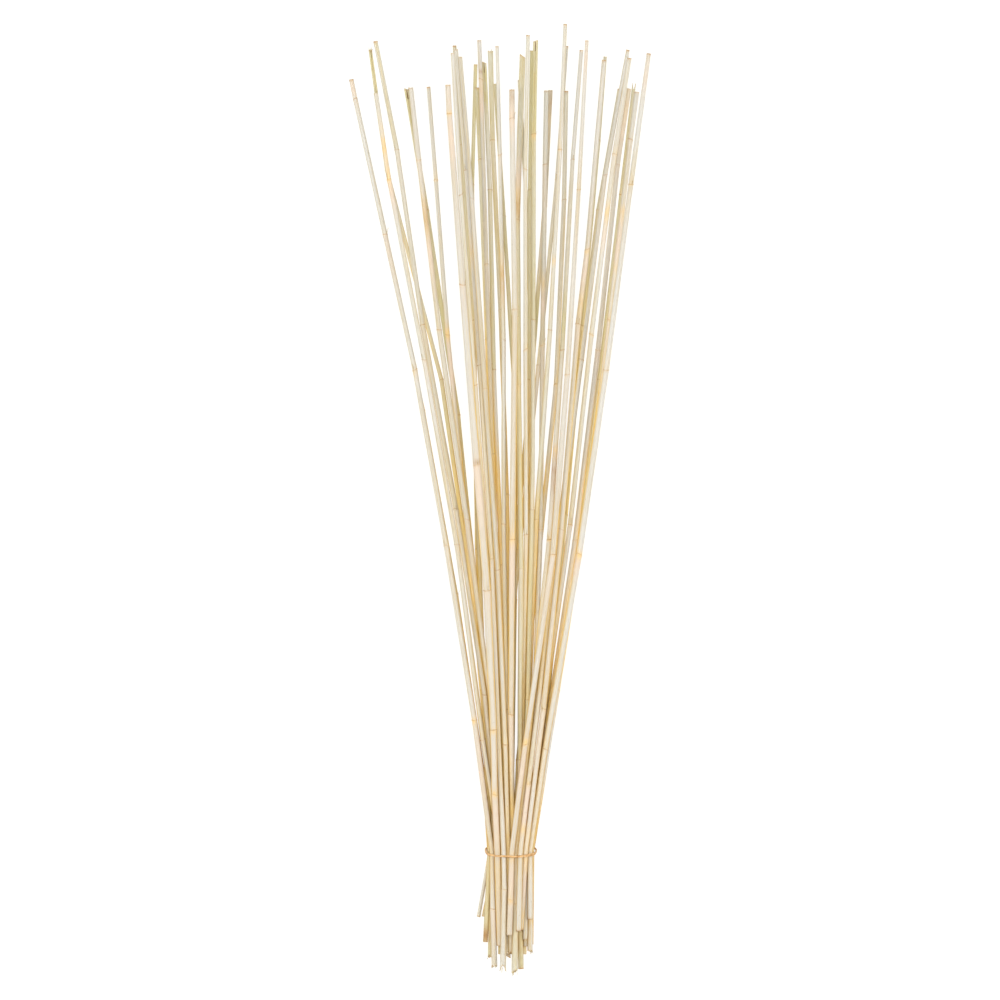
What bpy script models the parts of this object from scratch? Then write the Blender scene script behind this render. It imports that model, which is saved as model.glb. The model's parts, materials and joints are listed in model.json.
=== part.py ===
import math

import bpy
import numpy as np

# A bunch of 42 dried, bleached reeds lying on a flat surface, held by one thin band near
# the butts. X runs across the bunch, Y along it with the tips towards +Y, Z is up.
# Sizes in the tables are millimetres. The mesh is written in metres.

MM = 0.001

# Culm form
CULM_SIDES = 6
COLLAR_RISE = 0.24
COLLAR_HALF_LENGTH = 2.6
END_CLEARANCE = 14.0

# How far the six corners turn from one reed to the next, in half circles
TURN_STEP = 0.61803

# Air left between neighbouring pieces and under the lowest reeds
AIR = 0.34
FLOOR_AIR = 0.02

# The band: where it grips, how it is slanted, and its flattened section
TIE_Y = -351.0
TIE_SLANT = 0.30
TIE_WIDTH = 2.7
TIE_THICKNESS = 1.4
TIE_STEPS = 44
TIE_KEEP_CLEAR = 14.0

# The band clears every culm this far to each side of its middle. Its section has six
# corners: two at the edges, and four at these shares of its half thickness and width.
TIE_REACH = 7.0
TIE_FACE = 0.8
TIE_SHOULDER = 0.72

# The oval that the gripped reeds fill: its middle across the bunch, and its half sizes
OVAL_X = 11.0
OVAL_HALF_WIDTH = 23.2
OVAL_HALF_HEIGHT = 16.4
OVAL_FLOOR = TIE_THICKNESS + AIR + 0.1
OVAL_SQUARENESS = 2.8
OVAL_GRIP = 0.5

# Height of the lowest reeds' centres inside the band, and the rise from row to row
ROW_BASE = OVAL_FLOOR + 2.5
ROW_RISE = 4.7

# Lengthwise places at which the table gives each reed's sideways position
STATIONS = (300.0, 150.0, 0.0, -150.0, -250.0, -345.0)

# One line a reed: tip (x, y), sideways position at each station, butt (x, y),
# diameters at tip, middle and butt, tip height, row inside the band (0 is lowest)
# and the places of its nodes along Y.
REEDS = (
    ((-148.5, 420.5), (-123.0, -88.5, -61.5, -38.3, -21.5, -12.0), (-2.0, -468.5),
     (4.2, 4.8, 5.2), 50.0, 4.3, (401.0, 265.0, 129.0, -47.0, -221.0, -408.0)),
    ((-130.0, 452.0), (-108.8, -64.0, -38.3, -22.0, -14.0, -6.0), (-8.0, -430.5),
     (3.4, 4.2, 3.6), 7.0, 1.4, (330.0, 118.0, -78.0, -262.0)),
    ((-124.5, 459.0), (-93.0, -75.0, -46.5, -25.0, -13.0, -3.0), (1.0, -437.0),
     (4.2, 4.8, 4.6), 36.0, 2.9, (352.0, 176.0, -12.0, -196.0)),
    ((-124.0, 406.5), (-107.5, -78.0, -49.5, -30.0, -18.0, -6.5), (5.0, -455.0),
     (4.2, 4.8, 4.8), 62.0, 3.3, (318.0, 142.0, -44.0, -238.0)),
    ((-93.5, 413.0), (-75.0, -50.0, -33.0, -20.0, -10.0, 2.0), (8.0, -440.0),
     (4.4, 4.6, 4.6), 0.0, 0.4, (292.0, 84.0, -108.0, -290.0)),
    ((-89.0, 412.0), (-76.5, -59.0, -37.0, -17.0, -9.0, 2.5), (8.5, -459.0),
     (4.5, 4.8, 4.4), 54.0, 2.2, (340.0, 168.0, -18.0, -204.0)),
    ((-71.5, 413.5), (-62.0, -51.0, -34.0, -20.5, -12.0, -3.5), (3.0, -440.0),
     (3.7, 4.4, 4.6), 30.0, 2.2, (322.0, 163.0, -36.0, -226.0)),
    ((-51.8, 414.2), (-45.5, -31.5, -20.0, -8.0, -5.0, -5.0), (-1.5, -446.0),
     (5.0, 7.6, 6.2), 84.0, 4.9, (386.0, 214.0, 37.0, -92.0, -232.0, -296.0)),
    ((-47.3, 446.5), (-38.0, -26.0, -14.0, -4.0, -0.5, 3.5), (4.0, -436.0),
     (3.6, 4.4, 3.6), 62.0, 2.6, (304.0, 116.0, -82.0, -268.0)),
    ((-45.5, 455.0), (-34.0, -24.0, -21.5, -15.0, -11.0, -9.5), (-12.5, -442.5),
     (3.8, 4.6, 4.8), 22.0, 2.6, (356.0, 182.0, -14.0, -190.0)),
    ((-44.0, 450.5), (-31.5, -22.0, -11.5, -5.0, -1.0, 2.6), (5.0, -471.5),
     (4.0, 4.8, 5.8), 46.0, 5.3, (328.0, 136.0, -62.0, -250.0, -392.0)),
    ((-39.5, 443.0), (-28.0, -19.0, -7.0, 1.0, 5.3, 7.6), (11.5, -453.5),
     (3.6, 5.2, 4.8), 52.0, 5.0, (298.0, 110.0, -68.0, -246.0)),
    ((-24.3, 436.6), (-28.0, -26.0, -24.0, -20.0, -16.0, -10.0), (-7.0, -459.0),
     (3.6, 4.2, 4.0), 6.0, 1.4, (316.0, 132.0, -52.0, -236.0)),
    ((-23.0, 412.8), (-17.5, -13.0, -8.0, -5.0, -3.0, -1.0), (1.0, -455.0),
     (4.2, 4.6, 4.8), 28.0, 1.2, (342.0, 158.0, -40.0, -214.0)),
    ((-20.7, 460.0), (-14.5, -10.5, -5.0, 0.0, 3.5, 8.5), (9.0, -430.0),
     (3.9, 4.4, 4.6), 38.0, 2.4, (420.0, 236.0, 44.0, -140.0, -300.0)),
    ((-15.7, 438.5), (-9.5, -8.2, -1.5, 4.0, 7.5, 12.0), (12.0, -440.0),
     (4.1, 4.6, 4.8), 34.0, 1.8, (310.0, 128.0, -66.0, -254.0)),
    ((-9.5, 450.0), (-5.5, 2.5, 7.3, 8.0, 9.5, 11.0), (12.0, -455.0),
     (4.6, 4.2, 4.6), 10.0, 0.9, (362.0, 188.0, 6.0, -182.0)),
    ((-5.0, 417.2), (3.0, 14.0, 18.0, 13.5, 12.5, 12.0), (11.0, -435.0),
     (3.6, 4.4, 4.8), 0.0, 0.2, (286.0, 92.0, -98.0, -284.0)),
    ((-2.8, 453.2), (1.5, 3.6, 3.3, 5.5, 7.5, 9.0), (13.0, -445.0),
     (3.4, 4.4, 4.6), 72.0, 3.6, (344.0, 160.0, -26.0, -208.0)),
    ((12.0, 409.6), (13.0, 15.5, 13.7, 8.5, 10.5, 12.5), (14.0, -452.0),
     (5.0, 6.0, 5.2), 78.0, 4.0, (379.0, 192.0, -39.0, -216.0)),
    ((22.7, 445.0), (17.0, 18.5, 22.2, 23.0, 22.5, 20.0), (19.5, -469.5),
     (5.6, 5.2, 5.2), 70.0, 3.4, (279.0, 113.0, -70.0, -258.0, -420.0)),
    ((28.0, 464.0), (25.0, 25.5, 27.0, 26.0, 24.5, 22.5), (24.0, -455.0),
     (3.5, 4.4, 3.6), 80.0, 2.6, (332.0, 150.0, -34.0, -222.0)),
    ((31.7, 450.2), (30.0, 29.3, 30.7, 27.0, 25.0, 24.0), (20.0, -440.0),
     (3.4, 4.2, 4.4), 12.0, 1.0, (308.0, 122.0, -60.0, -242.0)),
    ((35.7, 459.5), (32.8, 34.0, 34.5, 30.0, 27.5, 26.0), (22.0, -450.0),
     (4.7, 4.9, 4.8), 60.0, 2.4, (363.0, 178.0, -10.0, -198.0)),
    ((19.7, 421.0), (27.0, 33.0, 33.0, 30.0, 26.0, 20.0), (16.0, -430.0),
     (3.6, 4.2, 4.4), 0.0, 0.2, (276.0, 88.0, -104.0, -288.0)),
    ((46.4, 409.3), (44.5, 41.0, 39.5, 35.0, 31.0, 27.0), (25.0, -440.0),
     (4.5, 4.7, 4.8), 50.0, 3.2, (336.0, 154.0, -30.0, -212.0)),
    ((50.8, 410.7), (45.5, 33.8, 20.0, 6.3, -2.9, -9.5), (-17.0, -417.5),
     (4.2, 4.4, 3.9), 8.0, 0.8, (294.0, 108.0, -76.0, -270.0)),
    ((65.2, 475.3), (58.5, 49.0, 37.5, 30.0, 26.5, 25.0), (23.0, -455.0),
     (3.5, 4.6, 4.8), 66.0, 1.8, (350.0, 170.0, -20.0, -200.0)),
    ((66.8, 454.5), (55.7, 40.0, 24.4, 8.7, -1.7, -12.5), (-21.0, -417.5),
     (3.4, 4.0, 3.4), 18.0, 2.0, (320.0, 134.0, -48.0, -232.0)),
    ((66.3, 409.3), (64.7, 60.5, 45.5, 34.0, 26.0, 18.0), (17.0, -445.0),
     (4.2, 4.6, 4.8), 34.0, 2.8, (302.0, 114.0, -72.0, -260.0)),
    ((81.5, 450.0), (69.2, 62.5, 53.3, 39.0, 28.5, 18.3), (13.0, -475.5),
     (3.6, 4.8, 5.6), 42.0, 4.8, (338.0, 152.0, -38.0, -218.0, -404.0)),
    ((86.8, 458.8), (78.0, 69.0, 59.5, 41.0, 24.5, 11.8), (7.5, -435.5),
     (3.3, 5.4, 6.0), 70.0, 5.5, (312.0, 126.0, -56.0, -244.0, -402.0)),
    ((105.5, 444.3), (94.5, 79.5, 67.0, 54.0, 40.0, 27.0), (24.0, -440.0),
     (3.4, 4.2, 4.4), 8.0, 1.0, (358.0, 174.0, -16.0, -194.0)),
    ((104.0, 439.7), (93.8, 74.5, 64.0, 50.0, 39.0, 29.3), (21.5, -430.0),
     (4.1, 5.2, 5.2), 58.0, 4.8, (248.0, 176.0, -28.0, -210.0)),
    ((128.0, 450.2), (101.2, 83.0, 65.4, 45.0, 33.0, 23.3), (17.5, -431.5),
     (3.5, 4.8, 5.2), 40.0, 5.4, (324.0, 138.0, -64.0, -284.0)),
    ((129.4, 441.6), (108.0, 90.0, 75.0, 56.0, 42.0, 30.0), (24.0, -447.0),
     (4.2, 4.6, 4.8), 60.0, 3.0, (346.0, 164.0, -24.0, -206.0)),
    ((119.7, 412.1), (100.0, 80.0, 64.0, 46.0, 32.0, 18.0), (14.0, -428.0),
     (3.2, 4.2, 4.4), 0.0, 1.4, (290.0, 96.0, -94.0, -280.0)),
    ((129.3, 411.5), (112.7, 98.0, 82.5, 58.0, 41.5, 31.8), (26.5, -453.5),
     (4.6, 5.2, 5.0), 38.0, 3.8, (334.0, 148.0, -42.0, -224.0)),
    ((134.4, 416.7), (121.0, 103.0, 84.0, 60.0, 44.0, 31.0), (22.0, -445.0),
     (3.5, 4.4, 4.6), 9.0, 1.8, (306.0, 120.0, -58.0, -240.0)),
    ((136.7, 408.1), (122.5, 105.5, 86.0, 62.0, 46.0, 30.0), (25.0, -445.0),
     (5.0, 4.8, 4.8), 50.0, 2.4, (360.0, 180.0, -8.0, -192.0)),
    ((148.7, 446.0), (129.0, 108.7, 88.3, 64.5, 45.8, 33.0), (29.5, -420.0),
     (4.2, 6.2, 5.4), 64.0, 4.4, (314.0, 130.0, -54.0, -248.0)),
    ((-138.0, 372.0), (-122.0, -88.0, -60.0, -32.5, -15.5, -8.5), (1.0, -430.0),
     (3.4, 3.8, 3.8), 4.0, 2.4, (282.0, 90.0, -96.0, -286.0)),
)

# Slanted cuts: reed number, which end, and how far the cut runs back across the culm
SLANTED_CUTS = {
    (5, "tip"): 2.2,
    (21, "tip"): 3.4,
    (24, "tip"): -2.0,
    (31, "butt"): 5.0,
    (16, "tip"): 1.8,
    (1, "butt"): 0.8,
    (38, "butt"): -2.4,
    (12, "butt"): 1.2,
    (6, "butt"): -2.6,
}

# Finish of each slot: warm ivory, straw and blush culms, and the tan band
CULM_FINISHES = (
    ("ivory", (0.815, 0.755, 0.615)),
    ("straw", (0.735, 0.640, 0.415)),
    ("blush", (0.790, 0.675, 0.550)),
)
BAND_FINISH = (0.600, 0.430, 0.235)

# Which of the three culm finishes each reed has, in the order of the table
SLOT_OF = (0, 1, 0, 0, 1, 2, 0, 2, 0, 1, 0, 0, 1, 1, 2, 0, 1, 1, 0, 2, 1,
           0, 1, 1, 1, 0, 2, 0, 0, 0, 0, 2, 1, 2, 0, 0, 1, 2, 1, 0, 0, 1)
CULM_ROUGHNESS = 0.55
BAND_ROUGHNESS = 0.60

# Settling: how finely the bunch is looked at, and how its reeds give way to each other
GRID_STEP = 5.0
SETTLE_ROUNDS = 500
HOLD_ROUNDS = 1000
TARGET_HOLD = 0.05
OVERLAP_LEFT = 0.02
STIFFNESS = 0.12
PUSH = 1.6


def clear_scene():
    """Removes whatever objects the scene holds."""
    for item in list(bpy.data.objects):
        bpy.data.objects.remove(item, do_unlink=True)


def make_finish(name, colour, roughness):
    """Makes one material with a Principled surface."""
    material = bpy.data.materials.new(name)
    material.use_nodes = True
    surface = material.node_tree.nodes["Principled BSDF"]
    surface.inputs["Base Color"].default_value = (*colour, 1.0)
    surface.inputs["Roughness"].default_value = roughness
    return material


def add_piece(name, points, faces, shift, material):
    """Adds one closed mesh object, its points and shift given in millimetres."""
    mesh = bpy.data.meshes.new(name)
    mesh.from_pydata((MM * (np.array(points) + shift)).tolist(), [], faces)
    mesh.materials.append(material)
    mesh.update()
    piece = bpy.data.objects.new(name, mesh)
    bpy.context.scene.collection.objects.link(piece)
    return piece


class Reed:
    """One culm: its table line, and the knots that its centre line bends at."""

    def __init__(self, number, line):
        tip, across, butt, diameters, tip_height, row, nodes = line
        self.number = number
        self.tip_y = tip[1]
        self.butt_y = butt[1]
        self.path_y = np.array((tip[1],) + STATIONS + (butt[1],))
        self.path_x = np.array((tip[0],) + across + (butt[0],))
        self.radius_y = np.array((tip[1], 0.0, butt[1]))
        self.radii = np.array(diameters) / 2.0
        self.row_z = ROW_BASE + ROW_RISE * row
        self.tip_z = max(tip_height, self.radii[0] + FLOOR_AIR)
        snapped = [GRID_STEP * round(y / GRID_STEP) for y in nodes]
        low = self.butt_y + END_CLEARANCE
        self.nodes = [y for y in snapped if low < y and abs(y - TIE_Y) > TIE_KEEP_CLEAR]
        self.knots = np.array(sorted([self.tip_y, TIE_Y, self.butt_y] + self.nodes, reverse=True))

    def base_radius(self, y):
        """Radius of the plain culm at y."""
        return np.interp(y, self.radius_y[::-1], self.radii[::-1])

    def rings(self):
        """Places and radii of the rings that carry the surface, from tip to butt."""
        rows = [(self.tip_y, self.base_radius(self.tip_y)), (self.butt_y, self.base_radius(self.butt_y)),
                (TIE_Y, self.base_radius(TIE_Y))]
        for y in self.nodes:
            rows.append((y + COLLAR_HALF_LENGTH, self.base_radius(y)))
            rows.append((y, self.base_radius(y) + COLLAR_RISE))
            rows.append((y - COLLAR_HALF_LENGTH, self.base_radius(y)))
        return sorted(rows, reverse=True)

    def outer_radius(self, y):
        """Radius of the finished culm at y, collars included."""
        rows = self.rings()[::-1]
        return np.interp(y, [row[0] for row in rows], [row[1] for row in rows])

    def wanted(self, y):
        """Where the centre line would run if no other reed were in its way."""
        x = np.interp(y, self.path_y[::-1], self.path_x[::-1])
        rise = (self.tip_z - self.row_z) / (self.tip_y - TIE_Y)
        z = self.row_z + rise * (y - TIE_Y)
        return np.stack([x, np.maximum(z, self.base_radius(y) + FLOOR_AIR)], axis=1)


def knot_weights(reed, places):
    """Share of each knot in the centre line at the given places."""
    weights = np.zeros((len(places), len(reed.knots)))
    for column in range(len(reed.knots)):
        unit = np.zeros(len(reed.knots))
        unit[column] = 1.0
        weights[:, column] = np.interp(places, reed.knots[::-1], unit[::-1])
    return weights


def settle(reeds):
    """Lets the reeds push each other apart until every pair has air between it."""
    top = max(reed.tip_y for reed in reeds)
    low = min(reed.butt_y for reed in reeds)
    grid = np.arange(GRID_STEP * math.floor(low / GRID_STEP), top + GRID_STEP, GRID_STEP)
    places = np.unique(np.concatenate([grid] + [reed.knots for reed in reeds]))
    count = len(reeds)
    most = max(len(reed.knots) for reed in reeds)
    weights = np.zeros((count, len(places), most))
    radius = np.zeros((count, len(places)))
    inside = np.zeros((count, len(places)))
    wanted = np.zeros((count, most, 2))
    floor = np.zeros((count, most))
    gripped = np.zeros((count, most))
    for index, reed in enumerate(reeds):
        knots = len(reed.knots)
        weights[index, :, :knots] = knot_weights(reed, places)
        radius[index] = reed.outer_radius(places)
        inside[index] = (places <= reed.tip_y + 1e-6) & (places >= reed.butt_y - 1e-6)
        wanted[index, :knots] = reed.wanted(reed.knots)
        gripped[index, :knots] = reed.knots == TIE_Y
        floor[index, :knots] = reed.outer_radius(reed.knots) + FLOOR_AIR
        floor[index, :knots] += gripped[index, :knots] * (OVAL_FLOOR - FLOOR_AIR)
    weights *= inside[:, :, None]
    squared = weights ** 2
    first, second = np.triu_indices(count, 1)
    sign = np.zeros((count, len(first)))
    sign[first, np.arange(len(first))] = 1.0
    sign[second, np.arange(len(first))] = -1.0
    need = (radius[first] + radius[second] + AIR) * inside[first] * inside[second]
    spread = wanted.copy()
    middle = np.array([OVAL_X, OVAL_FLOOR + OVAL_HALF_HEIGHT])
    tie_radius = np.array([float(reed.outer_radius(TIE_Y)) for reed in reeds])[:, None, None]
    reach = np.array([OVAL_HALF_WIDTH, OVAL_HALF_HEIGHT]) - tie_radius
    for turn in range(SETTLE_ROUNDS + HOLD_ROUNDS):
        hold = TARGET_HOLD * max(0.0, 1.0 - turn / SETTLE_ROUNDS)
        strayed = spread - wanted
        for index, reed in enumerate(reeds):
            last = len(reed.knots) - 1
            share = (reed.knots[:-2] - reed.knots[1:-1]) / (reed.knots[:-2] - reed.knots[2:])
            between = strayed[index, :last - 1] * (1.0 - share)[:, None]
            between += strayed[index, 2:last + 1] * share[:, None]
            give = STIFFNESS * (hold / TARGET_HOLD) * (between - strayed[index, 1:last])
            spread[index, 1:last] += give
        spread -= hold * (spread - wanted)
        centres = np.einsum("nsk,nkd->dns", weights, spread)
        apart_x = centres[0][first] - centres[0][second]
        apart_z = centres[1][first] - centres[1][second]
        distance = np.sqrt(apart_x ** 2 + apart_z ** 2) + 1e-9
        overlap = np.maximum(need - distance, 0.0)
        shove_x = sign @ (0.5 * overlap * apart_x / distance)
        shove_z = sign @ (0.5 * overlap * apart_z / distance)
        strength = np.sqrt(shove_x ** 2 + shove_z ** 2)
        total = np.einsum("nsk,ns->nk", weights, strength) + 1e-9
        spread[:, :, 0] += PUSH * np.einsum("nsk,ns->nk", squared, strength * shove_x) / total
        spread[:, :, 1] += PUSH * np.einsum("nsk,ns->nk", squared, strength * shove_z) / total
        outward = np.abs(spread - middle) / reach
        measure = (outward ** OVAL_SQUARENESS).sum(axis=2) ** (1.0 / OVAL_SQUARENESS)
        beyond = np.maximum(measure - 1.0, 0.0) * gripped
        grip = OVAL_GRIP if hold > 0.0 else 0.0
        spread -= grip * (beyond / (1.0 + beyond))[:, :, None] * (spread - middle)
        spread[:, :, 1] = np.maximum(spread[:, :, 1], floor)
        if hold == 0.0 and overlap.max() < OVERLAP_LEFT:
            break
    print("settled after", turn + 1, "rounds, largest overlap", round(float(overlap.max()), 4))
    return [np.round(spread[index, :len(reed.knots)], 3) for index, reed in enumerate(reeds)]


def centre_at(reed, knots, y):
    """Centre of the culm at y, on the straight runs between its knots."""
    x = np.interp(y, reed.knots[::-1], knots[::-1, 0])
    z = np.interp(y, reed.knots[::-1], knots[::-1, 1])
    return x, z


def culm_shape(reed, knots):
    """Lofts one culm through its rings and closes it at both cuts."""
    points = []
    rows = reed.rings()
    turn = TURN_STEP * reed.number * math.pi
    for place, (y, radius) in enumerate(rows):
        x, z = centre_at(reed, knots, y)
        cut = 0.0
        if place == 0:
            cut = SLANTED_CUTS.get((reed.number, "tip"), 0.0)
        if place == len(rows) - 1:
            cut = SLANTED_CUTS.get((reed.number, "butt"), 0.0)
        neighbour = rows[1] if place == 0 else rows[-2]
        near_x, near_z = centre_at(reed, knots, neighbour[0])
        lean_x = (x - near_x) / (y - neighbour[0]) if cut else 0.0
        lean_z = (z - near_z) / (y - neighbour[0]) if cut else 0.0
        for side in range(CULM_SIDES):
            angle = turn + 2.0 * math.pi * side / CULM_SIDES
            back = -abs(cut) * 0.5 * (1.0 + math.copysign(1.0, cut) * math.cos(angle))
            if place > 0:
                back = -back
            points.append((x + radius * math.cos(angle) + lean_x * back, y + back,
                           z + radius * math.sin(angle) + lean_z * back))
    faces = []
    for ring in range(len(rows) - 1):
        for side in range(CULM_SIDES):
            beside = (side + 1) % CULM_SIDES
            here = ring * CULM_SIDES
            beyond = here + CULM_SIDES
            faces.append((here + side, here + beside, beyond + beside, beyond + side))
    faces.append(tuple(range(CULM_SIDES))[::-1])
    faces.append(tuple((len(rows) - 1) * CULM_SIDES + side for side in range(CULM_SIDES)))
    return points, faces


def band_shape(reeds, settled):
    """Winds the band round the hull of all the reeds that it grips."""
    discs = []
    for reed, knots in zip(reeds, settled):
        for y in (TIE_Y - TIE_REACH, TIE_Y, TIE_Y + TIE_REACH):
            x, z = centre_at(reed, knots, y)
            discs.append((x, z, reed.outer_radius(y) + AIR))
    discs = np.array(discs)
    middle = 0.5 * (discs[:, 1].max() + discs[:, 1].min())
    half_w = 0.5 * TIE_WIDTH
    half_t = 0.5 * TIE_THICKNESS
    section = ((0.0, -1.0), (TIE_FACE, -TIE_SHOULDER), (TIE_FACE, TIE_SHOULDER),
               (0.0, 1.0), (-TIE_FACE, TIE_SHOULDER), (-TIE_FACE, -TIE_SHOULDER))
    points = []
    for step in range(TIE_STEPS):
        angle = 2.0 * math.pi * step / TIE_STEPS
        out_x = math.cos(angle)
        out_z = math.sin(angle)
        reach = discs[:, 0] * out_x + discs[:, 1] * out_z + discs[:, 2]
        held = discs[int(np.argmax(reach))]
        for across, along in section:
            out = held[2] + half_t * (1.0 + across / TIE_FACE)
            x = held[0] + out * out_x
            z = held[1] + out * out_z
            y = TIE_Y - TIE_SLANT * (z - middle) + half_w * along
            points.append((x, y, z))
    around = len(section)
    faces = []
    for step in range(TIE_STEPS):
        beyond = ((step + 1) % TIE_STEPS) * around
        here = step * around
        for edge in range(around):
            beside = (edge + 1) % around
            faces.append((here + edge, here + beside, beyond + beside, beyond + edge))
    return points, faces


def main():
    """Builds the bunch with its lowest point on the surface and its middle on the axis."""
    clear_scene()
    reeds = [Reed(number + 1, line) for number, line in enumerate(REEDS)]
    settled = settle(reeds)
    shapes = [culm_shape(reed, knots) for reed, knots in zip(reeds, settled)]
    shapes.append(band_shape(reeds, settled))
    cloud = np.concatenate([np.array(points) for points, _ in shapes])
    least = cloud.min(axis=0)
    most = cloud.max(axis=0)
    shift = np.array([-0.5 * (least[0] + most[0]), -0.5 * (least[1] + most[1]), -least[2]])
    for reed, (points, faces) in zip(reeds, shapes):
        name, colour = CULM_FINISHES[SLOT_OF[reed.number - 1]]
        finish = make_finish("reed_%02d_%s" % (reed.number, name), colour, CULM_ROUGHNESS)
        add_piece("reed_%02d" % reed.number, points, faces, shift, finish)
    finish = make_finish("tie_band_rubber", BAND_FINISH, BAND_ROUGHNESS)
    add_piece("tie_band", *shapes[-1], shift, finish)


main()
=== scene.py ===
import json
import logging
import math
from dataclasses import dataclass, field
from enum import Enum
from typing import Any, Dict, List, Optional, Sequence, Tuple

import bpy
import numpy as np
from mathutils import Matrix, Vector

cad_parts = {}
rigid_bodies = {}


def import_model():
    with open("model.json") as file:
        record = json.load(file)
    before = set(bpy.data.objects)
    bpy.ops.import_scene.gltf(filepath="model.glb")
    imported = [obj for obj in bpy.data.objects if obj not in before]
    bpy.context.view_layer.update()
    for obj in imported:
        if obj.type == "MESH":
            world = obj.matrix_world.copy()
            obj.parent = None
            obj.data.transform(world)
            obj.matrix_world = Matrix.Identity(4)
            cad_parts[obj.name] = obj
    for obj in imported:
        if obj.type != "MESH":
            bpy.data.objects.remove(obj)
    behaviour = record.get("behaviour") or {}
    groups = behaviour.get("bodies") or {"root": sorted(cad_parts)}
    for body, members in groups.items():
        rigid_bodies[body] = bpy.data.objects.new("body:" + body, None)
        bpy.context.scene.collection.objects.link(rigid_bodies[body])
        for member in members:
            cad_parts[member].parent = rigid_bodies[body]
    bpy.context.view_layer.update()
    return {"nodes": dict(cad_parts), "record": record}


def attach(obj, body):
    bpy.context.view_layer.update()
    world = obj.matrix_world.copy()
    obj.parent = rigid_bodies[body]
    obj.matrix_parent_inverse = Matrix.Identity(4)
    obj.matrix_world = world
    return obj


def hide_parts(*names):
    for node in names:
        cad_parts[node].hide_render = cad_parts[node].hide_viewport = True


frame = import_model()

LOG = logging.getLogger("bunch_of_reeds")

MM = 0.001
TURN = 2.0 * math.pi
# At this size the photograph's frame is a metre wide.
PICTURE_WIDTH = 1.0
# The solids' rings have six corners, and a ring at a node stands out at least this far.
SOLID_SIDES = 6
NODE_STEP = 0.1 * MM

MATH = "ShaderNodeMath"
VECTOR_MATH = "ShaderNodeVectorMath"
COMBINE = "ShaderNodeCombineXYZ"
SPLIT = "ShaderNodeSeparateXYZ"
NOISE = "ShaderNodeTexNoise"
MAP_RANGE = "ShaderNodeMapRange"
MIX = "ShaderNodeMix"
BUMP = "ShaderNodeBump"
READ = "ShaderNodeAttribute"
SAMPLE = "GeometryNodeSampleIndex"
STORE = "GeometryNodeStoreNamedAttribute"
NAMED = "GeometryNodeInputNamedAttribute"

Colour = Tuple[float, float, float, float]


def linear(code: str) -> Colour:
    """Turns an sRGB hex colour into linear light.

    Args:
        code: Six hex digits.

    Returns:
        Red, green, blue and alpha, the first three linear.
    """
    parts = [int(code[i:i + 2], 16) / 255.0 for i in (0, 2, 4)]
    light = [c / 12.92 if c <= 0.04045 else ((c + 0.055) / 1.055) ** 2.4 for c in parts]
    return (light[0], light[1], light[2], 1.0)


def add_node(tree: bpy.types.NodeTree, kind: str, inputs: Any = None, **settings: Any) -> bpy.types.Node:
    """Adds one node with its settings and links.

    Args:
        tree: The shader or geometry tree that gets the node.
        kind: The node's type name.
        inputs: Values, sockets or nodes for its inputs, in order or by input name or number.
        settings: Properties of the node.

    Returns:
        The new node.
    """
    node = tree.nodes.new(kind)
    for name, value in settings.items():
        setattr(node, name, value)
    pairs = inputs.items() if isinstance(inputs, dict) else enumerate(inputs or ())
    for key, value in pairs:
        if isinstance(value, bpy.types.Node):
            value = value.outputs[0]
        if isinstance(value, bpy.types.NodeSocket):
            tree.links.new(value, node.inputs[key])
        else:
            node.inputs[key].default_value = value
    return node


def plain_piece(name: str, source: bpy.types.Mesh, tree: bpy.types.NodeTree, ids: Dict[str, str],
                values: Dict[str, Any]) -> bpy.types.Object:
    """Runs a Geometry Nodes tree on a mesh and keeps the result as a plain mesh.

    Args:
        name: Name of the finished piece.
        source: The mesh that the tree starts from.
        tree: The tree.
        ids: The tree's inputs, name to socket identifier.
        values: Input name to value.

    Returns:
        The finished object, at the origin.
    """
    piece = bpy.data.objects.new(name, source)
    bpy.context.scene.collection.objects.link(piece)
    step = piece.modifiers.new("shape", "NODES")
    step.node_group = tree
    for key, value in values.items():
        step[ids[key]] = value
    graph = bpy.context.evaluated_depsgraph_get()
    made = bpy.data.meshes.new_from_object(piece.evaluated_get(graph), preserve_all_data_layers=True,
                                           depsgraph=graph)
    piece.modifiers.remove(step)
    piece.data = made
    made.name = name
    bpy.data.meshes.remove(source)
    return piece


def open_tree(name: str, sizes: Sequence[str],
              counts: Sequence[str] = ()) -> Tuple[bpy.types.NodeTree, Dict[str, str], Any]:
    """Starts a Geometry Nodes tree with named inputs.

    Args:
        name: The tree's name.
        sizes: Names of the inputs that take a size.
        counts: Names of the inputs that take a whole number.

    Returns:
        The tree, its inputs' identifiers by name, and the sockets that give them.
    """
    tree = bpy.data.node_groups.new(name, "GeometryNodeTree")
    kinds = {"Geometry": "Geometry", **dict.fromkeys(counts, "Int"), **dict.fromkeys(sizes, "Float"),
             "Material": "Material"}
    ids = {}
    for label, kind in kinds.items():
        socket = tree.interface.new_socket(label, in_out="INPUT", socket_type="NodeSocket" + kind)
        ids[label] = socket.identifier
    tree.interface.new_socket("Geometry", in_out="OUTPUT", socket_type="NodeSocketGeometry")
    return tree, ids, tree.nodes.new("NodeGroupInput").outputs


def close_tree(tree: bpy.types.NodeTree, body: bpy.types.Node, material: bpy.types.NodeSocket) -> None:
    """Ends a Geometry Nodes tree with smooth shading, plain geometry and the material.

    Args:
        tree: The tree.
        body: The node that gives the finished shape.
        material: The socket that gives the material.
    """
    body = add_node(tree, "GeometryNodeSetShadeSmooth", {"Geometry": body})
    body = add_node(tree, "GeometryNodeRealizeInstances", {"Geometry": body})
    body = add_node(tree, "GeometryNodeSetMaterial", {"Geometry": body, "Material": material})
    result = tree.nodes.new("NodeGroupOutput")
    tree.links.new(body.outputs[0], result.inputs[0])


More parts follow.
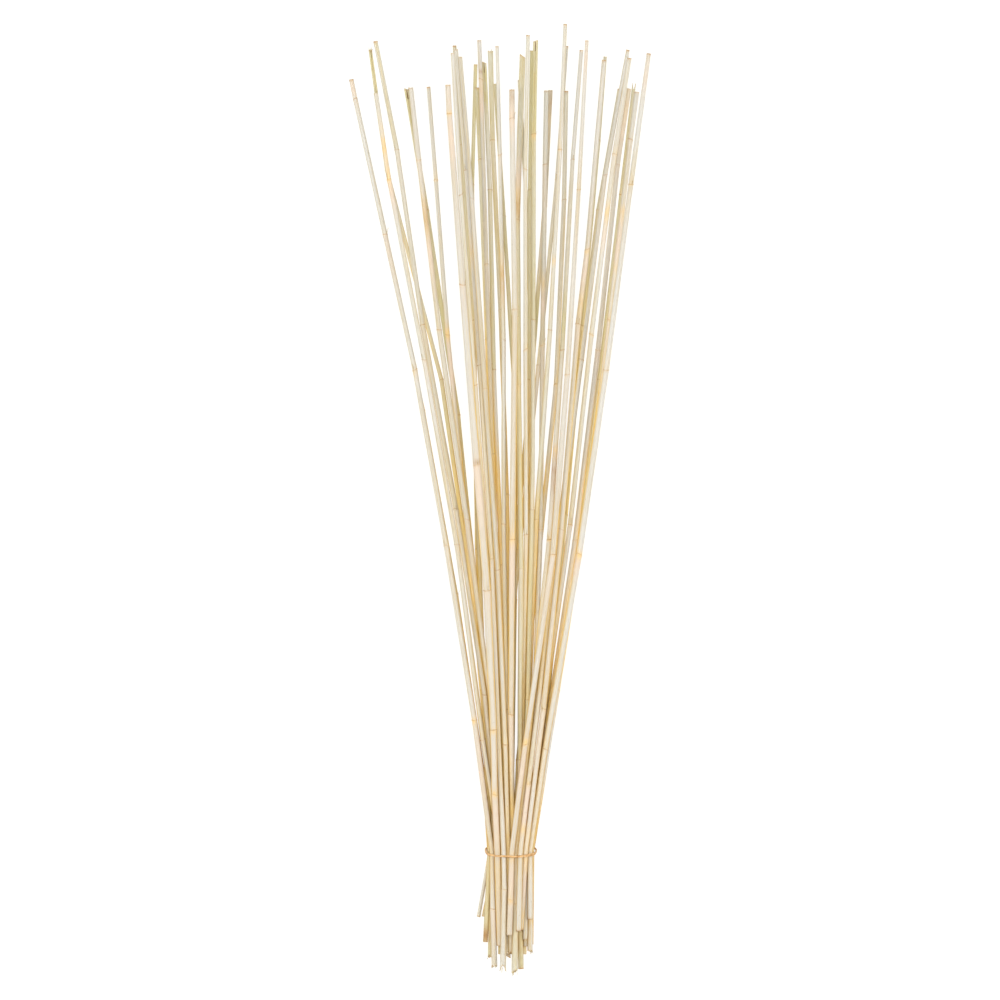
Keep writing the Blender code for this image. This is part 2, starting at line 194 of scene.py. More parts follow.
def open_material(name: str, settings: Dict[str, Any]) -> Tuple[bpy.types.Material, bpy.types.Node]:
    """Starts a material and sets what is the same all over its surface.

    Args:
        name: What the real material is.
        settings: Values of the shader's own inputs, by name.

    Returns:
        The material and its shader.
    """
    made = bpy.data.materials.new(name)
    made.use_nodes = True
    surface = made.node_tree.nodes["Principled BSDF"]
    for label, value in settings.items():
        surface.inputs[label].default_value = value
    return made, surface


def bell(gap: np.ndarray, width: Any) -> np.ndarray:
    """Falls off from one on both sides of nought."""
    return np.exp(-(gap / width) ** 2)


def ramp_down(y: np.ndarray, top: float, run: float, least: float = 0.0) -> np.ndarray:
    """Rises from the least share to one, on the way from the top down the reed."""
    return np.clip((top - y) / run, least, 1.0)


def at_least(least: float, share: np.ndarray) -> np.ndarray:
    """Scales a share so that it runs from the least to one."""
    return least + (1.0 - least) * share


def report(piece: bpy.types.Object) -> None:
    """Reports a finished piece."""
    LOG.info("%s: %d faces", piece.name, len(piece.data.polygons))


class Slot(Enum):
    """The material slots that the part names."""

    IVORY = "ivory_culm"
    STRAW = "straw_culm"
    BLUSH = "blush_culm"
    BAND = "tie_band"


class EndCut(Enum):
    """How a reed's end was cut or has broken."""

    CLEAN = "clean"
    RAGGED = "ragged"
    FORKED = "forked"
    FLARED = "flared"


class Zone(Enum):
    """Kinds of discoloured patch along a culm."""

    STAIN = 0
    BLUSH = 1
    OLIVE = 2
    BROWN = 3


@dataclass(frozen=True)
class Patch:
    """One discoloured patch on a culm."""

    zone: Zone
    at_mm: float
    reach_mm: float
    strength: float


@dataclass(frozen=True)
class ReedLook:
    """What one reed shows: its colours, its patches and the state of its two ends."""

    tone: float = 0.30
    blush: float = 0.40
    olive: float = 0.30
    stain: float = 0.50
    tip: EndCut = EndCut.CLEAN
    butt: EndCut = EndCut.CLEAN
    split_mm: float = 0.0
    split_run_mm: float = 110.0
    patches: Tuple[Patch, ...] = ()


@dataclass(frozen=True)
class CulmFinish:
    """Dried, bleached reed culm: the plant's own hard outer skin, never coated.

    The skin gives the eye a soft silky gloss, pale bleached crowns and fine fibres that run along
    the stem. Its golden and brown flanks, the gold where other reeds cover it, the brown in a split
    and the dark bore are painted shade.
    """

    slot: Slot
    pale: str
    deep: str
    stripe: str
    # Painted shade: gold on the flanks and on reeds under or close beside others.
    shade_gold: str = "E8C05C"
    olive: str = "C0B68A"
    blush: str = "D0BFAB"
    stain: str = "D8BC88"
    # Brown of the cut rims and patches, and painted shade in splits and on packed flanks.
    brown: str = "9A6A2E"
    node_line: str = "A87F4C"
    pith: str = "D6C79E"
    # Painted shade down the hollow bore.
    bore_shade_paint: str = "7A5A30"
    speck: str = "9A774A"
    roughness: float = 0.48
    ior: float = 1.47
    specular: float = 0.27
    # Light goes a little way into the skin, and comes out slightly warmer.
    light_share: float = 0.5
    light_tint: Tuple[float, float, float] = (1.0, 0.95, 0.84)
    light_depth: float = 2.0 * MM
    relief: float = 0.10 * MM

    # Each pattern's width across and length along the culm in millimetres, and its fineness. Fibre
    # bundles of reed skin are about 0.1 mm wide. They are drawn 0.4 mm wide, so that they show.
    # Stripes are the skin's broader ribs, clouds and drifts its uneven bleaching, spots are mildew.
    GRAINS = (("fibre", 0.40, 55.0, 4.0), ("stripe", 1.15, 150.0, 1.5), ("cloud", 3.2, 13.0, 3.0),
              ("drift", 7.0, 90.0, 2.0), ("spot", 1.0, 2.6, 1.0))

    def material(self) -> bpy.types.Material:
        """Builds the culm's material.

        Returns:
            The finished material, named for what it is.
        """
        made, surface = open_material("dried_reed_skin_%s" % self.slot.name.lower(), {
            "IOR": self.ior, "Specular IOR Level": self.specular, "Subsurface Weight": self.light_share,
            "Subsurface Radius": self.light_tint, "Subsurface Scale": self.light_depth})
        tree = made.node_tree
        part: Dict[str, bpy.types.NodeSocket] = {}
        for name, labels in (("zones", ("stain", "blush", "olive")), ("shade", ("tone", "cut", "bore_shade")),
                             ("wear_and_shade", ("shade_gold", "brown", "line"))):
            split = add_node(tree, SPLIT, (add_node(tree, READ, attribute_name=name).outputs["Vector"],))
            part.update({label: split.outputs[i] for i, label in enumerate(labels)})
        place = add_node(tree, READ, attribute_name="culm_place").outputs["Vector"]

        grain: Dict[str, bpy.types.NodeSocket] = {}
        for name, across, along, detail in self.GRAINS:
            spread = add_node(tree, VECTOR_MATH, (place, (1.0 / across, 1.0 / across, 1.0 / along)),
                              operation="MULTIPLY")
            grain[name] = add_node(tree, NOISE, {"Vector": spread, "Scale": 1.0, "Detail": detail,
                                                 "Roughness": 0.6}, noise_dimensions="3D").outputs[0]

        # Each coat of colour is a share and a paint. Browner skin shows its stripes and fibres more.
        drift = add_node(tree, MATH, (grain["drift"], 2.0, -1.0), operation="MULTIPLY_ADD")
        tone = add_node(tree, MATH, (part["tone"], drift), operation="ADD", use_clamp=True)
        coats: List[Tuple[Any, str]] = [(tone, self.deep)]
        strong = add_node(tree, MATH, (tone, 1.3, 0.50), operation="MULTIPLY_ADD", use_clamp=True)
        for name, low, high, most in (("stripe", 0.47, 0.68, 0.75), ("fibre", 0.52, 0.72, 0.45)):
            share = add_node(tree, MAP_RANGE, (grain[name], low, high, 0.0, most), clamp=True)
            coats.append((add_node(tree, MATH, (share, strong), operation="MULTIPLY"), self.stripe))
        # The gold, and part of the brown, are painted shade.
        for name, paint, ragged in (("shade_gold", self.shade_gold, 0.25), ("olive", self.olive, 0.5),
                                    ("blush", self.blush, 0.45), ("stain", self.stain, 0.6),
                                    ("brown", self.brown, 0.6), ("line", self.node_line, 0.7)):
            edge = add_node(tree, MATH, (grain["cloud"], 4.0 * ragged, 1.0 - 2.0 * ragged),
                            operation="MULTIPLY_ADD")
            share = add_node(tree, MATH, (part[name], edge), operation="MULTIPLY", use_clamp=True)
            coats.append((share, paint))
        speck = add_node(tree, MAP_RANGE, (grain["spot"], 0.735, 0.79, 0.0, 0.5), clamp=True)
        # The dark bore is painted shade.
        coats += [(speck, self.speck), (part["cut"], self.pith), (part["bore_shade"], self.bore_shade_paint)]
        colour: Any = linear(self.pale)
        for share, paint in coats:
            colour = add_node(tree, MIX, {0: share, 6: colour, 7: linear(paint)}, data_type="RGBA").outputs[2]
        tree.links.new(colour, surface.inputs["Base Color"])

        rough = add_node(tree, MAP_RANGE, (grain["fibre"], 0.3, 0.7, self.roughness - 0.05,
                                           self.roughness + 0.12), clamp=True)
        tree.links.new(rough.outputs[0], surface.inputs["Roughness"])
        relief = add_node(tree, MATH, (grain["stripe"], 1.5, grain["fibre"]), operation="MULTIPLY_ADD")
        bump = add_node(tree, BUMP, {"Height": relief, "Strength": 0.6, "Distance": self.relief})
        tree.links.new(bump.outputs[0], surface.inputs["Normal"])
        return made


@dataclass(frozen=True)
class BandFinish:
    """Natural rubber band, cut from a dipped tube: matt, dusty and a little uneven in its tan."""

    face: str = "D9B27E"
    shade: str = "B08049"
    roughness: float = 0.60
    ior: float = 1.52
    specular: float = 0.3
    relief: float = 0.10 * MM
    # Clouds about 4 mm across are the rubber's uneven colour, grains of 0.6 mm its dusty skin.
    clouds_per_metre: float = 250.0
    grains_per_metre: float = 1600.0

    def material(self) -> bpy.types.Material:
        """Builds the band's material.

        Returns:
            The finished material.
        """
        made, surface = open_material("natural_rubber_band", {
            "Roughness": self.roughness, "IOR": self.ior, "Specular IOR Level": self.specular})
        tree = made.node_tree
        place = add_node(tree, "ShaderNodeTexCoord").outputs["Object"]
        cloud = add_node(tree, NOISE, {"Vector": place, "Scale": self.clouds_per_metre, "Detail": 3.0,
                                       "Roughness": 0.6})
        grain = add_node(tree, NOISE, {"Vector": place, "Scale": self.grains_per_metre, "Detail": 2.0,
                                       "Roughness": 0.6})
        share = add_node(tree, MAP_RANGE, (cloud, 0.40, 0.66, 0.0, 1.0), clamp=True)
        colour = add_node(tree, MIX, {0: share, 6: linear(self.face), 7: linear(self.shade)},
                          data_type="RGBA").outputs[2]
        tree.links.new(colour, surface.inputs["Base Color"])
        bump = add_node(tree, BUMP, {"Height": grain, "Strength": 0.5, "Distance": self.relief})
        tree.links.new(bump.outputs[0], surface.inputs["Normal"])
        return made


@dataclass(frozen=True)
class Ring:
    """One ring of a culm's skin: its place along Y, its radius and what it belongs to.

    The last three run from nought to one: on the bore's side, bare cut wall, and painted shade down the
    hollow.
    """

    y: float
    radius: float
    inside: float = 0.0
    cut: float = 0.0
    bore_shade: float = 0.0


@dataclass(frozen=True)
class SkinPoint:
    """A point of a culm's skin in the loft's tree: its row's values and its place round the culm.

    The turn is the angle round the culm, and the circle holds its cosine and sine.
    """

    tree: bpy.types.NodeTree
    given: Any
    ring: Dict[str, bpy.types.NodeSocket]
    turn: bpy.types.Node
    cosine: bpy.types.Node
    sine: bpy.types.Node
    circle: bpy.types.Node


@dataclass
class CulmLoft:
    """The Geometry Nodes tree that skins a culm over its row of rings."""

    sides: int = 26
    split_sharpness: float = 18.0
    rib_changes_per_metre: float = 7.0
    tear_fineness: float = 2.8
    # Painted shade goes on the flanks. A flank starts where the skin faces up less than the first share, and
    # is full at the second.
    flank: Tuple[float, float] = (0.80, 0.22)
    # The underside begins between the first two shares, and keeps the third share of the painted shade gold.
    underside: Tuple[float, float, float] = (-0.25, 0.15, 0.30)
    # Painted shade on a flank, gold and brown: what a side with close neighbours adds, and what an open side
    # has too.
    flank_shade_gold: Tuple[float, float] = (1.2, 0.02)
    rim_brown: Tuple[float, float] = (0.95, 0.05)
    # Painted shade gold over the whole skin, where other reeds stand close.
    skin_shade_gold: float = 0.62
    # Painted shade, brown in a lengthwise split.
    split_shade_brown: float = 0.25
    tree: Optional[bpy.types.NodeTree] = None
    ids: Dict[str, str] = field(default_factory=dict)

    SIZES = ("Rib Depth", "Rib Count", "Flatten", "Flat Turn", "Split Depth", "Split Turn", "Tip Slant",
             "Tip Turn", "Tip Fray", "Tip Fork", "Butt Slant", "Butt Turn", "Butt Fray", "Butt Fork", "Seed")
    ROW_NUMBERS = ("radius", "along", "inside", "split", "tip_share", "butt_share", "collar_lean",
                   "collar_turn", "packed_shade", "left_shade", "right_shade")
    ROW_VECTORS = ("tangent", "across", "upward", "zones", "shade", "wear_and_shade")

    def build(self) -> None:
        """Builds the tree once, with named inputs for its sizes."""
        tree, self.ids, given = open_tree("culm_loft", self.SIZES, ("Sides",))
        rows = given["Geometry"]
        count = add_node(tree, "GeometryNodeAttributeDomainSize", (rows,), component="MESH")
        columns = add_node(tree, MATH, (given["Sides"], 1.0), operation="ADD")
        grid = add_node(tree, "GeometryNodeMeshGrid", {"Vertices X": count, "Vertices Y": columns})
        # The half keeps the row and the column clear of rounding.
        index = add_node(tree, MATH, (add_node(tree, "GeometryNodeInputIndex"), 0.5), operation="ADD")
        row = add_node(tree, MATH, (index, columns), operation="DIVIDE")
        row = add_node(tree, MATH, (row,), operation="FLOOR")
        column = add_node(tree, MATH, (index, columns), operation="MODULO")
        column = add_node(tree, MATH, (column, 0.5), operation="SUBTRACT")
        turn = add_node(tree, MATH, (column, given["Sides"]), operation="DIVIDE")
        turn = add_node(tree, MATH, (turn, TURN), operation="MULTIPLY")

        ring: Dict[str, bpy.types.NodeSocket] = {}
        for kind, names in (("FLOAT", self.ROW_NUMBERS), ("FLOAT_VECTOR", self.ROW_VECTORS)):
            for name in names:
                source = add_node(tree, NAMED, {"Name": name}, data_type=kind)
                ring[name] = add_node(tree, SAMPLE, (rows, source, row), data_type=kind,
                                      domain="POINT").outputs[0]
        centre = add_node(tree, SAMPLE, (rows, add_node(tree, "GeometryNodeInputPosition"), row),
                          data_type="FLOAT_VECTOR", domain="POINT")

        cosine = add_node(tree, MATH, (turn,), operation="COSINE")
        sine = add_node(tree, MATH, (turn,), operation="SINE")
        circle = add_node(tree, COMBINE, (cosine, sine, 0.0))
        point = SkinPoint(tree, given, ring, turn, cosine, sine, circle)
        reach = self.reach(point)
        move = self.end_move(point)
        spot = add_node(tree, VECTOR_MATH, (ring["tangent"], move, centre), operation="MULTIPLY_ADD")
        for side, share in (("across", cosine), ("upward", sine)):
            out = add_node(tree, MATH, (reach, share), operation="MULTIPLY")
            spot = add_node(tree, VECTOR_MATH, (ring[side], out, spot), operation="MULTIPLY_ADD")

        body = grid.outputs["Mesh"]
        for name, value in self.stored(point).items():
            body = add_node(tree, STORE, {"Geometry": body, "Name": name, "Value": value},
                            data_type="FLOAT_VECTOR", domain="POINT").outputs[0]
        body = add_node(tree, "GeometryNodeSetPosition", {"Geometry": body, "Position": spot})
        body = add_node(tree, "GeometryNodeMergeByDistance", {"Geometry": body, "Distance": 1e-6})
        close_tree(tree, body, given["Material"])
        self.tree = tree

    def reach(self, point: SkinPoint) -> bpy.types.Node:
        """Works out how far the skin stands from the culm's middle.

        Args:
            point: The point of the skin.

        Returns:
            The node that holds the distance.
        """
        tree, given, ring = point.tree, point.given, point.ring
        spread = add_node(tree, VECTOR_MATH, {0: point.circle, "Scale": given["Rib Count"]},
                          operation="SCALE")
        run = add_node(tree, MATH, (ring["along"], self.rib_changes_per_metre), operation="MULTIPLY")
        spread = add_node(tree, VECTOR_MATH, (spread, add_node(tree, COMBINE, (0.0, 0.0, run))),
                          operation="ADD")
        ribs = add_node(tree, NOISE, {"Vector": spread, "W": given["Seed"], "Scale": 1.0, "Detail": 2.0},
                        noise_dimensions="4D")
        ribs = add_node(tree, MATH, (ribs, 0.5), operation="SUBTRACT")
        ribs = add_node(tree, MATH, (ribs, given["Rib Depth"]), operation="MULTIPLY")
        cleft = self.split_share(point)
        cleft = add_node(tree, MATH, (cleft, given["Split Depth"]), operation="MULTIPLY")
        relief = add_node(tree, MATH, (ribs, cleft), operation="SUBTRACT")
        outer = add_node(tree, MATH, (1.0, ring["inside"]), operation="SUBTRACT")
        relief = add_node(tree, MATH, (relief, outer), operation="MULTIPLY")
        oval = add_node(tree, MATH, (point.turn, given["Flat Turn"]), operation="SUBTRACT")
        oval = add_node(tree, MATH, (oval, 2.0), operation="MULTIPLY")
        oval = add_node(tree, MATH, (oval,), operation="COSINE")
        oval = add_node(tree, MATH, (oval, given["Flatten"], 1.0), operation="MULTIPLY_ADD")
        total = add_node(tree, MATH, (ring["radius"], oval, relief), operation="MULTIPLY_ADD")
        return add_node(tree, MATH, (total, 0.0), operation="MAXIMUM")

    def split_share(self, point: SkinPoint) -> bpy.types.Node:
        """Works out how deep in a lengthwise split the skin is, from nought to one.

        Args:
            point: The point of the skin.

        Returns:
            The node that holds the share.
        """
        tree = point.tree
        facing = add_node(tree, MATH, (point.turn, point.given["Split Turn"]), operation="SUBTRACT")
        facing = add_node(tree, MATH, (facing,), operation="COSINE")
        facing = add_node(tree, MATH, (facing, 0.0), operation="MAXIMUM")
        narrow = add_node(tree, MATH, (facing, self.split_sharpness), operation="POWER")
        return add_node(tree, MATH, (narrow, point.ring["split"]), operation="MULTIPLY")

    def end_move(self, point: SkinPoint) -> bpy.types.Node:
        """Works out how far a point shifts along the culm.

        Cuts are slanted, frayed and forked, and the collars at nodes lean.

        Args:
            point: The point of the skin.

        Returns:
            The node that holds the shift.
        """
        tree, given, ring, turn = point.tree, point.given, point.ring, point.turn
        spread = add_node(tree, VECTOR_MATH, {0: point.circle, "Scale": self.tear_fineness},
                          operation="SCALE")
        tear = add_node(tree, NOISE, {"Vector": spread, "W": given["Seed"], "Scale": 1.0, "Detail": 3.0,
                                      "Roughness": 0.75}, noise_dimensions="4D")
        tear = add_node(tree, MAP_RANGE, (tear, 0.35, 0.62, 0.0, -1.0), clamp=True)
        prong = add_node(tree, MATH, (turn, 2.0), operation="MULTIPLY")
        prong = add_node(tree, MATH, (prong,), operation="COSINE")
        prong = add_node(tree, MATH, (prong, 0.5, -0.5), operation="MULTIPLY_ADD")
        lean = add_node(tree, MATH, (turn, ring["collar_turn"]), operation="SUBTRACT")
        lean = add_node(tree, MATH, (lean,), operation="COSINE")
        move = add_node(tree, MATH, (lean, ring["collar_lean"]), operation="MULTIPLY")
        for end, share, outward in (("Tip", "tip_share", 1.0), ("Butt", "butt_share", -1.0)):
            slant = add_node(tree, MATH, (turn, given[end + " Turn"]), operation="SUBTRACT")
            slant = add_node(tree, MATH, (slant,), operation="COSINE")
            slant = add_node(tree, MATH, (slant, 0.5, -0.5), operation="MULTIPLY_ADD")
            slant = add_node(tree, MATH, (slant, given[end + " Slant"]), operation="MULTIPLY")
            slant = add_node(tree, MATH, (tear, given[end + " Fray"], slant), operation="MULTIPLY_ADD")
            slant = add_node(tree, MATH, (prong, given[end + " Fork"], slant), operation="MULTIPLY_ADD")
            share_out = add_node(tree, MATH, (ring[share], outward), operation="MULTIPLY")
            move = add_node(tree, MATH, (slant, share_out, move), operation="MULTIPLY_ADD")
        return move

    def stored(self, point: SkinPoint) -> Dict[str, Any]:
        """Works out what the skin keeps for its material, painted shade included.

        Args:
            point: The point of the skin.

        Returns:
            Name to value.
        """
        tree, ring = point.tree, point.ring
        round_mm = add_node(tree, MATH, (ring["radius"], 1.0 / MM), operation="MULTIPLY")
        skin = add_node(tree, VECTOR_MATH, {0: point.circle, "Scale": round_mm}, operation="SCALE")
        length = add_node(tree, MATH, (ring["along"], point.given["Seed"]), operation="ADD")
        length = add_node(tree, MATH, (length, 1.0 / MM), operation="MULTIPLY")
        length = add_node(tree, COMBINE, (0.0, 0.0, length))
        place = add_node(tree, VECTOR_MATH, (skin, length), operation="ADD")
        wear_and_shade = add_node(tree, SPLIT, (ring["wear_and_shade"],)).outputs
        # Painted shade gold on the flanks, more where other reeds stand close beside, less on the underside.
        flank = add_node(tree, MAP_RANGE, (point.sine, *self.flank, 0.0, 1.0), clamp=True,
                         interpolation_type="SMOOTHSTEP")
        side = add_node(tree, MAP_RANGE, (point.cosine, -0.5, 0.5, 0.0, 1.0), clamp=True)
        side_shade = add_node(tree, MATH, (ring["right_shade"], ring["left_shade"]), operation="SUBTRACT")
        side_shade = add_node(tree, MATH, (side_shade, side, ring["left_shade"]), operation="MULTIPLY_ADD")
        rim = add_node(tree, MATH, (side_shade, *self.flank_shade_gold), operation="MULTIPLY_ADD")
        rim = add_node(tree, MATH, (flank, rim), operation="MULTIPLY")
        below = add_node(tree, MAP_RANGE, (point.sine, *self.underside, 1.0), clamp=True)
        rim = add_node(tree, MATH, (rim, below), operation="MULTIPLY")
        # Painted shade gold over the skin, where other reeds cover it or stand close.
        shade_gold = wear_and_shade[0]
        for share in (side_shade, below, self.skin_shade_gold):
            shade_gold = add_node(tree, MATH, (shade_gold, share), operation="MULTIPLY")
        shade_gold = add_node(tree, MATH, (shade_gold, rim), operation="ADD", use_clamp=True)
        # Painted shade in the split, added to the brown of the rims and patches.
        cleft = self.split_share(point)
        brown = add_node(tree, MATH, (cleft, self.split_shade_brown, wear_and_shade[1]), operation="MULTIPLY_ADD")
        # Painted shade, brown on the flanks where the reeds are packed towards the band.
        packed_shade = add_node(tree, MATH, (side_shade, *self.rim_brown), operation="MULTIPLY_ADD")
        packed_shade = add_node(tree, MATH, (packed_shade, ring["packed_shade"]), operation="MULTIPLY")
        brown = add_node(tree, MATH, (flank, packed_shade, brown), operation="MULTIPLY_ADD", use_clamp=True)
        return {"culm_place": place, "zones": ring["zones"], "shade": ring["shade"],
                "wear_and_shade": add_node(tree, COMBINE, (shade_gold, brown, wear_and_shade[2]))}


@dataclass(frozen=True)
class WeatheringAndShade:
    """How the plant's own growth and bleaching have coloured a reed along its length, and where shade is
    painted on it by the reeds round it.
    """

    # The painted shade gold fades out towards the tips, which the light has bleached, and at the open butts.
    gold_top: float = 390.0 * MM
    gold_run: float = 370.0 * MM
    gold_least: float = 0.14
    butt_top: float = -345.0 * MM
    butt_run: float = 60.0 * MM
    butt_fade: float = 0.45
    # Painted shade: the reeds are darker in tone and browner on their flanks where they are packed towards
    # the band.
    dusk_top: float = -120.0 * MM
    dusk_run: float = 190.0 * MM
    dusk_tone: float = 0.15
    # Some reeds carry more painted shade gold than others.
    richness: Tuple[float, float] = (0.60, 1.50)
    richness_seed: int = 300
    # Painted shade gold for a reed in the open and for one that others cover.
    open_gold: float = 0.10
    cover_shade_gold: float = 1.05
    # What the bleached tips keep of the painted shade gold under covering reeds, of the tone and of the
    # painted shade gold on sides with close neighbours.
    covered_least: float = 0.12
    tone_least: float = 0.25
    side_shade_least: float = 0.10
    # A stain runs from a node towards the tip and a blush towards the butt, each fading in millimetres.
    stain_share: float = 0.7
    stain_rarity: float = 1.5
    stain_run: Tuple[float, float] = (2.5, 11.0)
    stain_back: float = 1.6
    blush_run: Tuple[float, float] = (14.0, 60.0)
    blush_back: float = 1.5
    olive_rarity: float = 1.6
    tone_spread: float = 0.22
    line_strength: Tuple[float, float] = (0.25, 0.80)
    line_place: float = 0.55
    line_width: float = 0.42
    # The cut ends are stained, and brown right at the rim.
    tip_strength: Tuple[float, float] = (0.25, 0.95)
    butt_strength: Tuple[float, float] = (0.35, 1.0)
    rim_stain: float = 0.5
    rim_stain_run: float = 1.6 * MM
    rim_brown: float = 1.1
    rim_brown_run: float = 0.9 * MM

    def growth(self, look: ReedLook, y: np.ndarray, gap: np.ndarray, joints: np.ndarray,
               chance: np.random.Generator) -> Tuple[np.ndarray, np.ndarray, np.ndarray]:
        """Works out the discoloured zones along the culm.

        Args:
            look: What the reed shows.
            y: The rings' places.
            gap: Distance from each ring to each node, in millimetres, positive towards the tip.
            joints: Where the nodes are.
            chance: The reed's own seeded numbers.

        Returns:
            Stain, blush and olive shares, brown and node line shares, and the tone.
        """
        count = len(joints)
        strong = chance.uniform(0.0, 1.0, count) ** self.stain_rarity
        wide = chance.uniform(*self.stain_run, count)
        fade = np.where(gap > 0.0, np.exp(-np.maximum(gap, 0.0) / wide), bell(gap, self.stain_back))
        stain = self.stain_share * look.stain * (strong * fade).sum(axis=1)
        pink = chance.uniform(0.0, 1.0, count)
        reach = chance.uniform(*self.blush_run, count)
        fade = np.where(gap < 0.0, bell(gap, reach), bell(gap, self.blush_back))
        blush = look.blush * (pink * fade).sum(axis=1)
        internode = np.searchsorted(joints, y)
        olive = look.olive * (chance.uniform(0.0, 1.0, count + 1) ** self.olive_rarity)[internode]
        tone = look.tone + chance.uniform(-self.tone_spread, self.tone_spread, count + 1)[internode]
        brown = np.zeros(len(y))
        line = chance.uniform(*self.line_strength, count) * bell(gap - self.line_place, self.line_width)
        layers = [stain, blush, olive, brown]
        for patch in look.patches:
            share = self.stain_share if patch.zone is Zone.STAIN else 1.0
            near = bell(y / MM - patch.at_mm, patch.reach_mm)
            layers[patch.zone.value] += share * patch.strength * near
        for end, strength in ((y.max(), chance.uniform(*self.tip_strength)),
                              (y.min(), chance.uniform(*self.butt_strength))):
            stain += self.rim_stain * strength * np.exp(-np.abs(y - end) / self.rim_stain_run)
            brown += self.rim_brown * strength * np.exp(-np.abs(y - end) / self.rim_brown_run)
        zones = np.clip(np.stack([stain, blush, olive], axis=1), 0.0, 1.0)
        # Only the wear here: brown at the rims and patches, and the node lines. The painted shade is added on
        # the skin.
        wear_and_shade = np.clip(np.stack([brown, line.sum(axis=1)], axis=1), 0.0, 1.0)
        return zones, wear_and_shade, np.clip(tone, 0.0, 1.0)

    def bleaching_and_shade(self, number: int, y: np.ndarray, tone: np.ndarray,
                  shade_shares: Sequence[np.ndarray]) -> Dict[str, np.ndarray]:
        """Works out the painted shade gold, and the tone that bleaching has left, darkened as painted shade
        where the reeds are packed.

        Args:
            number: The reed's number, which seeds how much painted shade gold it carries.
            y: The rings' places.
            tone: The tone that the reed grew with.
            shade_shares: Shares at the rings that set the painted shade: covered, and close beside on the
                left and right.

        Returns:
            Shares by name: the painted shade gold, the tone, the painted shade where packed, and the painted
                shade on the left and right side.
        """
        covered, left, right = shade_shares
        rich = np.random.default_rng(self.richness_seed + number).uniform(*self.richness)
        warm = ramp_down(y, self.gold_top, self.gold_run, self.gold_least)
        warm *= 1.0 - self.butt_fade * ramp_down(y, self.butt_top, self.butt_run)
        packed_shade = ramp_down(y, self.dusk_top, self.dusk_run)
        # Painted shade gold under the reeds that cover this one.
        hidden = self.cover_shade_gold * covered * at_least(self.covered_least, warm)
        kept = at_least(self.side_shade_least, warm)
        shares = {"shade_gold": rich * (self.open_gold * warm + hidden),
                  "tone": tone * at_least(self.tone_least, warm) + self.dusk_tone * packed_shade,
                  "packed_shade": packed_shade, "left_shade": left * rich * kept, "right_shade": right * rich * kept}
        return {name: np.clip(share, 0.0, 1.0) for name, share in shares.items()}


